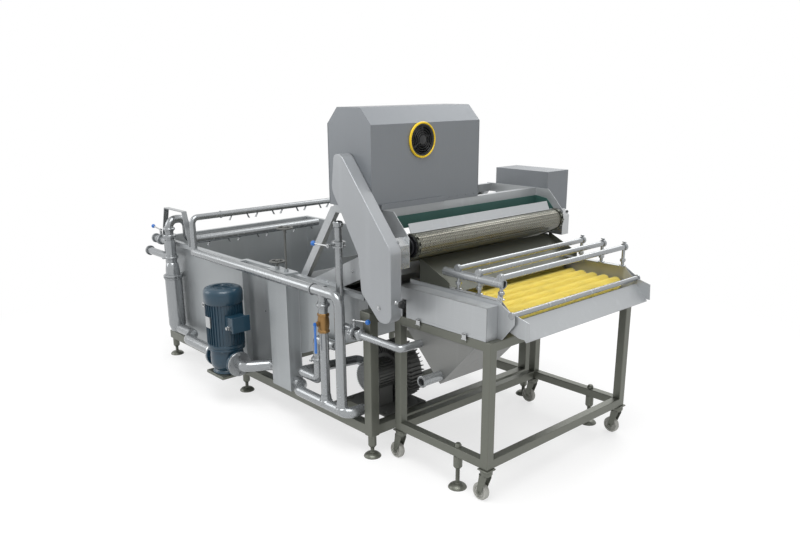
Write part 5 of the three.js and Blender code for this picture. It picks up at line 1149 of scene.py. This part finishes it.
# %% Bristle tree
def bristle_tree():
    """Leaning cones in rows round the y axis, each row turned a little against the last."""
    tree, given = new_tree("bristles", [("Around", "Int", 36), ("Rows", "Int", 150),
                                        ("Pitch", "Float", 5.8), ("Twist", "Float", 0.5),
                                        ("Radius", "Float", 22.0), ("Tuft", "Float", 9.0),
                                        ("Width", "Float", 2.6), ("Start", "Vector", None),
                                        ("Lean", "Float", 0.25), ("Seed", "Int", 1),
                                        ("Material", "Material", None)])
    index = node(tree, "GeometryNodeInputIndex").outputs[0]
    row = math_node(tree, "FLOOR", math_node(tree, "DIVIDE", index, given["Around"]))
    place = math_node(tree, "MODULO", index, given["Around"])
    turn = math_node(tree, "DIVIDE", 2 * math.pi, given["Around"])
    angle = math_node(tree, "MULTIPLY", math_node(tree, "MULTIPLY_ADD", row, given["Twist"], place),
                      turn)
    across = math_node(tree, "MULTIPLY", math_node(tree, "SINE", angle), given["Radius"])
    above = math_node(tree, "MULTIPLY", math_node(tree, "COSINE", angle), given["Radius"])
    along = math_node(tree, "MULTIPLY", row, given["Pitch"])
    ring = node(tree, "ShaderNodeCombineXYZ", {"X": across, "Y": along, "Z": above})
    spot = node(tree, "ShaderNodeVectorMath", {0: ring.outputs[0], 1: given["Start"]},
                operation="ADD")
    total = math_node(tree, "MULTIPLY", given["Around"], given["Rows"])
    points = node(tree, "GeometryNodePoints", {"Count": total, "Position": spot.outputs[0]})
    outward = node(tree, "FunctionNodeAxisAngleToRotation", {"Axis": (0, 1, 0), "Angle": angle})
    low = math_node(tree, "MULTIPLY", given["Lean"], -1.0)
    least = node(tree, "ShaderNodeCombineXYZ", {"X": low, "Y": low})
    most = node(tree, "ShaderNodeCombineXYZ", {"X": given["Lean"], "Y": given["Lean"]})
    lean = node(tree, "FunctionNodeRandomValue", {0: least.outputs[0], 1: most.outputs[0],
                                                  "Seed": given["Seed"]}, data_type="FLOAT_VECTOR")
    tilt = node(tree, "FunctionNodeEulerToRotation", {"Euler": lean.outputs[0]})
    facing = node(tree, "FunctionNodeRotateRotation", {"Rotation": outward.outputs[0],
                                                       "Rotate By": tilt.outputs[0]},
                  rotation_space="LOCAL")
    length = node(tree, "FunctionNodeRandomValue", {2: 0.86, 3: 1.0, "Seed": given["Seed"]},
                  data_type="FLOAT")
    size = node(tree, "ShaderNodeCombineXYZ", {"X": 1.0, "Y": 1.0, "Z": length.outputs[1]})
    tuft = node(tree, "GeometryNodeMeshCone", {
        "Vertices": 4, "Radius Bottom": given["Width"],
        "Radius Top": math_node(tree, "MULTIPLY", given["Width"], 0.62), "Depth": given["Tuft"]})
    stood = node(tree, "GeometryNodeInstanceOnPoints", {
        "Points": points.outputs[0], "Instance": tuft.outputs[0], "Rotation": facing.outputs[0],
        "Scale": size.outputs[0]})
    close_tree(tree, stood.outputs[0], given["Material"])
    return tree


BRISTLES = bristle_tree()

# %% Eight rollers
def roller(number):
    """A brush with its shaft. The last one's shaft is longer and carries a driven disc outside."""
    x = FIRST_ROLLER - ROLLER_PITCH * (number - 1)
    last = number == ROLLERS
    name = f"brush_roller_{number}"
    core = Shape().rod((x, 74, ROLLER_Z), (x, 944, ROLLER_Z), 22.5, 24)
    tufts = Shape().take(grown(BRISTLES, {
        "Around": 34, "Rows": 158, "Pitch": 5.5, "Twist": 0.5 + 0.03 * (number % 3), "Radius": 22.0,
        "Tuft": 8.6, "Width": 2.5, "Start": floats((x, 76, ROLLER_Z)), "Lean": 0.22,
        "Seed": number}))
    shaft = Shape().rod((x, -110 if last else 14, ROLLER_Z), (x, 970, ROLLER_Z), 8.6, 20, 1)
    shaft.rod((x, 32.5, ROLLER_Z), (x, 39.5, ROLLER_Z), 18, 28)
    teeth(shaft, x, ROLLER_Z, (33, 39), 17, 21, 3, 1)
    if last:
        shaft.rod((x, -106.6, ROLLER_Z), (x, -99.6, ROLLER_Z), 20, 28)
    piece(name + "_core", core, BACKING, name, replaces=[name])
    piece(name + "_bristles", tufts, BRISTLE, name)
    piece(name + "_shaft", shaft, BRIGHT, name)


for number in range(1, ROLLERS + 1):
    roller(number)

# %% [markdown]
# ## Brush table
# The side plates are folded sheet with a flange on top and a sloping nose in front. Each roller
# end has a small flange bearing, and a round bar ties the noses together over the chute.

# %% Side plates, bearings and tie bar
shape = Shape()
outline = [(-522, 696.3), (0, 696.3), (60, 770), (60, 800), (-28, 850), (-522, 850)]
for low, high in ((65, 68), (950, 953)):
    shape.plate(outline, (low, high))
shape.box((-522, -28), (65, 93), (847, 850)).box((-522, -28), (925, 953), (847, 850))
shape.box((-522, 0), (951, 1000), (696.3, 699.3))
piece("side_plates", shape, SHEET, replaces=["brush_side_plates"], edge=0.8)

shape = Shape()
for index in range(ROLLERS):
    x = FIRST_ROLLER - ROLLER_PITCH * index
    for y, way in ((65, -1), (953, 1)):
        shape.turned([(9.4, 0), (17, 0), (17, 4), (13, 8), (12.6, 13), (9.4, 13), (9.4, 0)],
                     (x, y, ROLLER_Z), Y * way, 28)
        for z in (ROLLER_Z + 14, ROLLER_Z - 14):
            shape.bolt((x, y + 3 * way, z), Y * way, 3.2, 4, False)
piece("flange_bearings", shape, CAST)

x, z = 43, 803
shape = Shape().rod((x, 66, z), (x, 952, z), 11, 32, 1)
for y in (63.6, 947.4):
    shape.rod((x, y, z), (x, y + 7, z), 15, 32, 1)
piece("tie_bar", shape, TUBE)

# A bent bracket bolted to the near side plate's front corner
shape = Shape().plate([(-30, 850.2), (-8, 838), (-8, 862), (-22, 872), (-30, 872)], (66, 69))
shape.bolt((-18, 66, 858), -Y, 3.4, 4)
piece("header_bracket", shape, BRIGHT)

# %% Roller chain in the drive cover
run, radius, pitch = ROLLER_PITCH * (ROLLERS - 1), 24.6, 9
head, tail = Vector((FIRST_ROLLER, 36, ROLLER_Z)), Vector((FIRST_ROLLER - run, 36, ROLLER_Z))
path = [point for point, _ in loop_path(head, tail, radius, 16)]
link = Shape().rod((0, -3.4, 0), (0, 3.4, 0), 3, 10)
for y in (-3.6, 3.6):
    link.box((-6.4, 6.4), (y - 0.4, y + 0.4), (-2.6, 2.6))
shape = Shape().take(links_round(path, link, int((2 * run + 2 * math.pi * radius) / pitch)))
piece("chain_links", shape, BRIGHT, replaces=["table_chain"], slot="frame_steel")

# %% Drive cover and latches
def latch(number, x):
    """A toggle latch that hooks the drive cover to the cart's rail."""
    shape = Shape().box((x - 11, x + 11), (-8.6, -5.4), (681, 707))
    shape.box((x - 11, x + 11), (-8.6, -0.6), (703, 709))
    shape.rod((x - 14, -7, 683), (x + 14, -7, 683), 2.4, 12)
    shape.plate([(x - 7, 684), (x + 7, 684), (x + 4, 700), (x - 4, 700)], (-9, -8.2))
    name = f"cover_latch_{number}"
    piece(name + "_clip", shape, BRIGHT, name, replaces=[name], edge=0.8)


left, right, bottom, top, depth = -525, -24, 696.3, 831.3, (0, 64.7)
slot_left, slot_right, slot_top = -503.4, -478.6, 775.4
near = [(left, bottom), (slot_left, bottom), (slot_left, slot_top), (slot_right, slot_top),
        (slot_right, bottom), (right, bottom), (right, top), (left, top)]
shape = Shape().plate(near, (0, 2)).box((left, right), depth, (top - 2, top))
for x in (left, right - 2):
    shape.box((x, x + 2), depth, (bottom, top))
for span in ((left + 4, -507), (-475, right - 4)):
    shape.box(span, (-0.8, 1), (bottom, bottom + 12))
piece("drive_cover_sheet", shape, SHEET, "drive_cover", replaces=["drive_cover"], edge=0.9)
for number, x in enumerate((-398, -134), 1):
    latch(number, x)

# %% [markdown]
# ## Round pipework
# Sanitary pipe is polished tube with clamp unions. A union is a collar turned in profile with a
# hinged clamp round it and a wing nut at its side. The same collar returns at joint after joint.

# %% A union and its wing nut
def union(shape, centre, axis, radius, wing=None):
    """A clamp union round a pipe, with a wing nut on the side given by wing."""
    lift = radius + 9
    shape.turned([(radius, -16), (radius + 3, -14), (radius + 3, -9), (lift, -6), (lift + 2, -3),
                  (lift + 2, 3), (lift, 6), (radius + 3, 9), (radius + 3, 14), (radius, 16),
                  (radius - 3, 16), (radius - 3, -16), (radius, -16)], centre, axis, 32)
    if wing:
        out = Vector(wing)
        start = Vector(centre) + out * (lift - 1)
        shape.rod(start, start + out * 20, 3, 10)
        cross = out.cross(Vector(axis)).normalized()
        shape.rod(start + out * 15 - cross * 10, start + out * 15 + cross * 10, 4, 10, 1.5)
    return shape


def flat_nozzles(shape, x, z, first, last, count, length, tilt):
    """Bent strips under a spray pipe, leaning one way and the other in turn."""
    step = (last - first) / (count - 1)
    corners = ((1, 1), (-1, 1), (-1, -1), (1, -1))
    for parity in (0, 1):
        lean = tilt if parity else -tilt
        start = first + parity * step
        down = Vector((0, math.sin(lean), -math.cos(lean))) * length
        root = Vector((x, start, z))
        bend, tip = root + down * 0.5 + X * 3, root + down
        rings = []
        for place, half, thick in ((root, 6, 4), (bend, 5.5, 2.4), (tip, 8, 1.4)):
            rings.append([place + X * half * a + Y * thick * b for a, b in corners])
        jet = Shape().skin(rings)
        repeat(shape, jet, (count + 1 - parity) // 2, step=(0, step * 2, 0))

# %% Spray manifold over the brushes
shape = Shape()
near, far, foot_z, header_z, cross_z = 83.5, 933, 850.3, 914, 938
cap = [(16, 0), (17.8, 3), (17.8, 11), (16, 14)]
shape.sleeve((-331, near, header_z), (-14, near, header_z), 14.5, 18)
shape.rod((-330, near, header_z), (-70, near, header_z), 14.4, 24)
for index in range(3):
    x = -26 - 113 * index
    shape.rod((x, near - 12, cross_z), (x, far + 12, cross_z), 12, 24, 2)
    for y in (near, far):
        shape.rod((x, y, foot_z), (x, y, cross_z - 4), 7.5, 18)
        shape.turned([(15, 0), (15, 3), (9, 6)], (x, y, foot_z), Z, 24)
        shape.rod((x, y, foot_z + 20), (x, y, foot_z + 34), 13, 6, 1.5)
    for start in (near - 13, far - 2):
        shape.turned(cap, (x, start, cross_z), Y, 28)
    y = far + 5
    shape.rod((x - 2, y, cross_z + 14), (x - 2, y, cross_z + 22), 3, 10)
    shape.rod((x - 12, y, cross_z + 21), (x + 8, y, cross_z + 21), 3, 10, 1)
    hole = Shape().rod((x - 5, near + 60, cross_z - 12.6), (x - 5, near + 60, cross_z - 9), 2, 8)
    repeat(shape, hole, 16, step=(0, 48, 0))
piece("spray_manifold_pipes", shape, TUBE, replaces=["spray_manifold"])

# %% Supply pipe and upper spray pipe
shape = Shape()
y, z, drop, left, low, spray_z = SUPPLY_Y, 756, -768, -2092, 208, 950
shape.pipe([(left, y, z), (drop, y, z), (drop, y, low)], 24, 48, 28, 10)
shape.pipe([(-1224.7, COLUMN_Y, low), (-1175, COLUMN_Y, low), (-1113, y, low), (-723, y, low),
            (-723, -46.8, low)], 26, 40, 28, 8)
for start, end in ((low, 563.7), (656.3, z)):
    shape.rod((BRASS_X, y, start), (BRASS_X, y, end), 22, 28)
for x in (BRASS_X, drop):
    shape.turned([(27, 0), (31, 4), (31, 18), (27, 22), (24, 48)], (x, y, low), Z, 28)
shape.pipe([(left, y, z - 12), (left, y, spray_z), (left, 942.8, spray_z)], 17, 34, 24, 8)
shape.turned([(19.5, 0), (20, 4), (20, 14), (14, 18)], (left, 938, spray_z), Y, 24)
flat_nozzles(shape, left, spray_z, 120, 822.8, 9, 46, 0.5)
shape.rod((left, 40, spray_z), (left, 48, spray_z), 21, 24, 2)
shape.turned([(25, 0), (28, 0), (29, 3), (29, 9), (28, 12), (25, 12), (25, 0)], (-970, y, z), X, 32)
shape.box((-970, -958), (y + 24, -60.1), (753, 759))
union(shape, (BRASS_X, y, z - 60), Z, 22)
piece("supply_pipes", shape, TUBE, replaces=["supply_pipe"])

# %% Rinse pipe with two butterfly valves
# Each butterfly valve's middle, pipe axis, stem and lever direction
VALVES = [((-2520, -129.8, 768), X, Z, -X), ((-838, -77.1, 975), Z, -Y, -X),
          ((-701, -109.1, 600), X, Z, X)]


def butterfly(shape, centre, axis, stem):
    """A valve body clamped between two flanges, with its stem and two bolts."""
    centre, along, out = Vector(centre), Vector(axis), Vector(stem)
    shape.turned([(20, -13), (30, -13), (31, -10), (31, -6), (27, -4), (27, 4), (31, 6), (31, 10),
                  (30, 13), (20, 13), (20, -13)], centre, along, 32)
    shape.rod(centre + out * 22, centre + out * 52, 7, 16, 1)
    cross = out.cross(along).normalized()
    for side in (-1, 1):
        spot = centre + cross * side * 30
        shape.rod(spot - along * 12, spot + along * 12, 4, 12, 1)


shape = Shape()
x, y, out_y, low, top = -838, -77.1, -109.1, 600, 1078
shape.pipe([(x, y, top), (x, y, low), (-748, y, low), (-716, out_y, low), (-395, out_y, low),
            (-395, 4.7, low)], 17, 18, 26, 8)
shape.turned([(19, 0), (22, 3), (22, 22), (19, 26)], (x, y, top - 26), Z, 28)
shape.torus((x, y, low + 30), Z, 18, 3, 28, 8)
for centre, axis, stem, _ in VALVES[1:]:
    butterfly(shape, centre, axis, stem)
union(shape, (-655, out_y, low), X, 17)
shape.rod((x - 30, y, top - 12), (x + 30, y, top - 12), 8, 20, 1)
piece("rinse_pipes", shape, TUBE, replaces=["rinse_pipe"])

# %% Rear riser, lower spray pipe and hoop
shape = Shape()
x, y, joint, lower, upper = -2406, -129.8, 560, 675, 768
shape.pipe([(PX - PORT_REACH, PY, PZ), (-2135, PY, PZ), (-2205, y, PZ), (x, y, PZ), (x, y, joint)],
           30, 55, 28, 8)
shape.turned([(0, -20), (38, -18), (50, 20), (50, 300), (46, 318)], (x, y, PZ), Z, 36)
shape.turned([(30, -12), (52, -12), (57, -8), (57, -2), (50, 0), (57, 2), (57, 8), (52, 12),
              (30, 12), (30, -12)], (x, y, joint), Z, 36)
for way in (X, -X, Y, -Y):
    spot = Vector((x, y, joint)) + way * 52
    shape.rod(spot - Z * 14, spot + Z * 14, 4.5, 12, 1)
shape.turned([(42, 12), (40, 50), (36, 76), (30, 84)], (x, y, joint), Z, 32)
shape.rod((x, y, 640), (x, y, 780), 30, 32)
shape.turned([(24, 0), (38, 0), (40, 3), (40, 11), (38, 14), (24, 14), (24, 0)], (x, y, 800), Z, 32)
shape.pipe([(x, y, upper), (x, y, 900), (x, y + 112, 900), (x, y + 112, 760), (x, 952.8, 760)],
           24, 50, 28, 9)
union(shape, (x, y, 848), Z, 24, (-1, 0, 0))
union(shape, (x, y, 676), Z, 30, (0, -1, 0))
flat_nozzles(shape, x, 760, 140, 882.8, 8, 50, 0.5)
for z, length, radius in ((lower, 294, 22), (upper, 190, 20)):
    shape.sleeve((x - length, y, z), (x - 4, y, z), radius - 3, radius, 28)
    shape.sleeve((x - length, y, z), (x - length + 12, y, z), radius - 3, radius + 8, 32)
shape.rod((x - 170, y, upper), (x - 4, y, upper), 17.2, 24)
butterfly(shape, *VALVES[0][:3])
bar = [(x - 133, 768), (x - 73, 964), (x + 153, 964), (x + 213, 765.5), (x + 208, 765.5),
       (x + 148, 959), (x - 68, 959), (x - 128, 768)]
shape.plate(bar, (y + 14, y + 44))
piece("rear_riser_pipes", shape, TUBE, replaces=["rear_riser"])

# %% Suction pipe with its flange
FLANGE, BOLT_CIRCLE = [(66, 0), (67, 2), (67, 10), (65, 12)], 54

inlet = (PX + PORT_REACH, PY, PZ)
shape = Shape().pipe([inlet, (-1512, PY, PZ), (-1442, COLUMN_Y, PZ), (-1388.3, COLUMN_Y, PZ)],
                     29.5, 40, 28, 8)
shape.turned(FLANGE, inlet, X, 40)
bolt = Shape().bolt((PX + PORT_REACH + 12, PY, PZ + BOLT_CIRCLE), X, 6.5, 6)
repeat(shape, bolt, 4, axis=X, centre=inlet)
piece("suction_pipes", shape, TUBE, replaces=["suction_pipe"])

# %% [markdown]
# ## Valves and their levers
# Butterfly valves have a bright arm with a blue ball. The brass ball valve in the second drop has
# a blue plastic lever that hangs down. Each lever turns with its own body.

# %% Valve levers
for number, (centre, _, stem, along) in enumerate(VALVES, 1):
    hub = Vector(centre) + stem * 55.3
    arm = Shape().rod(hub, hub + stem * 8, 9.5, 20, 1).rod(hub + stem * 8, hub + stem * 11, 5, 6)
    arm.rod(hub + stem * 4 + along * 4, hub + stem * 13.5 + along * 88, 4, 14)
    grip = Shape().ball(hub + stem * 14 + along * 96, 12, 24)
    name = f"valve_lever_{number}"
    piece(name + "_arm", arm, BRIGHT, name, replaces=[name])
    piece(name + "_ball", grip, BLUE, name)

# %% Brass ball valve
x, y = BRASS_X, SUPPLY_Y
shape = Shape().turned([(24, 14), (27, 30), (28, 46), (27, 62), (24, 78)], (x, y, 564), Z, 32)
for z in (564, 642):
    shape.rod((x, y, z), (x, y, z + 14), 28, 6, 1.5)
shape.rod((x, y - 46, 610), (x, y, 610), 8, 20, 1)
shape.rod((x, y - 38, 610), (x, y - 26, 610), 12, 6, 1)
piece("ball_valve_body", shape, BRASS, replaces=["ball_valve"])

y = -183.1
half = [(8, 620, 7), (8, 590, 4), (6, 566, 4), (8, 470, 7)]
outline = [(x + reach, z, radius) for reach, z, radius in half]
outline += [(x - reach, z, radius) for reach, z, radius in reversed(half)]
shape = Shape().plate(rounded(outline, 5), (y - 5, y))
shape.rod((x, y - 10, 610), (x, y, 610), 6.5, 6, 1)
piece("ball_valve_grip", shape, BLUE, "ball_valve_lever", replaces=["ball_valve_lever"], edge=1)

# %% [markdown]
# ## Pump
# The pump stands on its volute. Its motor has straight cooling ribs all round, a domed cowl with
# a ring grille on top, and a terminal box that points along the machine. All of it is one dark
# blue-green paint, so its form has to come from the geometry.

# %% Pump motor
low, cowl = 318.3, 561.3
shape = Shape().rod((PX, PY, low), (PX, PY, cowl + 6), 93, 48)
shape.turned([(97, 0), (99, 3), (99, 16), (94, 20)], (PX, PY, low), Z, 48)
shape.turned([(100, 0), (103.5, 6), (104, 52), (102, 64), (94, 76), (80, 81.5), (58, 82), (58, 79)],
             (PX, PY, cowl), Z, 56)
rib = Shape().box((PX + 88, PX + 99.5), (PY - 1.6, PY + 1.6), (339, 556))
repeat(shape, rib, 36, axis=Z, centre=(PX, PY, 0))
for radius in (16, 28, 40, 52):
    shape.torus((PX, PY, cowl + 80), Z, radius, 1.6, 40, 6)
spoke = Shape().box((PX, PX + 57), (PY - 1.4, PY + 1.4), (cowl + 78.6, cowl + 81.2))
repeat(shape, spoke, 8, axis=Z, centre=(PX, PY, 0))
piece("pump_motor_case", shape, PAINT, replaces=["pump_motor"])

shape = Shape().box((PX + 86, PX + 160), (PY - 48, PY + 48), (434, 506))
shape.box((PX + 158, PX + 171.5), (PY - 53, PY + 53), (428.6, 513))
shape.box((PX + 80, PX + 104), (PY - 36, PY + 36), (442, 498))
piece("pump_terminal_box", shape, PAINT, edge=4)

shape = Shape().box((PX - 22, PX + 22), (PY - 101, PY - 92), (435, 495))
shape.turned([(7, -4), (13, -4), (14, 0), (13, 4), (7, 4), (7, -4)], (PX - 40, PY - 94.5, 553),
             Y, 24)
cap = Shape().bolt((PX + 88, PY, 304), Z, 7, 9)
repeat(shape, cap, 8, axis=Z, centre=(PX, PY, 0))
for start, radius in ((PY - 68, 9), (PY - 58, 12)):
    shape.rod((PX + 130, start, 452), (PX + 130, PY - 46, 452), radius, 6)
piece("pump_fittings", shape, BRIGHT, edge=0.8)

# %% Pump volute
shape = Shape().turned([(78, 0), (80, 4), (76, 14), (70, 20), (84, 36), (88, 58), (88, 100),
                        (84, 124), (94, 128), (98, 131), (98, 140), (95, 143)], (PX, PY, 175),
                       Z, 56)
for way in (-1, 1):
    shape.turned([(42, 60), (40, 84), (42, 96), (52, 101), (66, 101.5), (68, 104), (68, 112),
                  (66, 114.8)], (PX, PY, PZ), X * way, 44)
    bolt = Shape().bolt((PX + 101.5 * way, PY, PZ + BOLT_CIRCLE), -X * way, 6.5, 8)
    repeat(shape, bolt, 4, axis=X, centre=(PX, PY, PZ))
piece("pump_volute_case", shape, PAINT, replaces=["pump_volute"])
piece("pump_outlet_flange", Shape().turned(FLANGE, (PX - PORT_REACH, PY, PZ), -X, 40), BRIGHT)

# %% [markdown]
# ## Blower
# The side-channel blower under the tank lies across the machine. Its wide casing is ribbed like a
# shell, its motor points to the near side, and a pierced cover closes the motor's fan. The
# casting is dark with dust. A bare pipe takes the air round a raised loop and into the tank.

# %% Blower
shape = Shape().turned([(62, 0.3), (78, 6), (112, 8), (128, 14), (136, 30), (133, 48), (133, 60),
                        (136, 78), (128, 96), (112, 104), (50, 104.7), (0, 100)], (BX, 195, BZ),
                       Y, 72)
for depth, reach in (((205, 292), (BZ + 110, BZ + 147)), ((195.8, 212), (BZ + 84, BZ + 130))):
    rib = Shape().box((BX - 1.8, BX + 1.8), depth, reach)
    repeat(shape, rib, 44, axis=Y, centre=(BX, 0, BZ))
shape.box((BX - 55, BX + 55), (215, 280), (168, 240)).box((-960, -664), (35, 300), (160.3, 168.3))
for x in (-940, -684):
    for y in (60, 275):
        shape.bolt((x, y, 168.3), Z, 8, 7)
piece("blower_case", shape, CAST, replaces=["blower_casing"])

y, near, low, high, rise = 247.6, -67.8, 272.4, 480.4, -1035
shape = Shape().pipe([(BX - 115, y, low), (-1125, y, low), (-1190, near, low), (rise, near, low),
                      (rise, near, high), (-885, near, high), (-885, -35.1, high)], 24.6, 21, 24, 7)
union(shape, (rise, near, 380), Z, 24.6, (0, -1, 0))
piece("blower_air_pipe", shape, TUBE)

shape = Shape().rod((BX, 60, BZ), (BX, 194.7, BZ), 68, 48)
shape.turned([(92, 0), (94, 3), (94, 12), (86, 14)], (BX, 180.7, BZ), Y, 48)
shape.turned([(60, 6), (66, 10), (72, 20), (76, 31), (70, 33)], (BX, 36, BZ), Y, 48)
rib = Shape().box((BX - 1.6, BX + 1.6), (68, 178), (BZ + 64, BZ + 74))
repeat(shape, rib, 30, axis=Y, centre=(BX, 0, BZ))
shape.box((BX - 50, BX + 50), (88, 172), (168.6, 270))
piece("blower_motor_case", shape, CAST, replaces=["blower_motor"])

# Webs of the pierced cover, as rings that touch
shape = Shape()
for radius, height, count in ((8, 5.4, 5), (18, 5.4, 11), (28, 5.4, 17), (38, 5.4, 23),
                              (48, 5.4, 29), (58, 5.4, 35), (65, 9.4, 39), (69.5, 16.6, 42),
                              (73.4, 25, 44)):
    ring = Shape().torus((BX, 36 + height, BZ + radius), Y + Z * (0 if radius < 60 else 0.6),
                         4.2, 1.0, 10, 5)
    repeat(shape, ring, count, axis=Y, centre=(BX, 0, BZ))
piece("blower_fan_cover", shape, SHEET)

# %% [markdown]
# ## Drain stub
# The drip pan's funnel ends in a short round stub with a rolled lip. The stub is open, so its
# bore shows dark from below.

# %% Drain stub
stub = Shape().turned([(16.9, 0), (22, 0), (25, 2), (25, 9), (21.6, 12), (21.6, 109), (16.9, 109),
                       (16.9, 0)], (-276, -105, 487), Y, 40)
piece("drain_stub", stub, TUBE)

# %% Print the visual box and finish
low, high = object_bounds()
print("visual box:", [round(value, 4) for value in (*low, *high)])
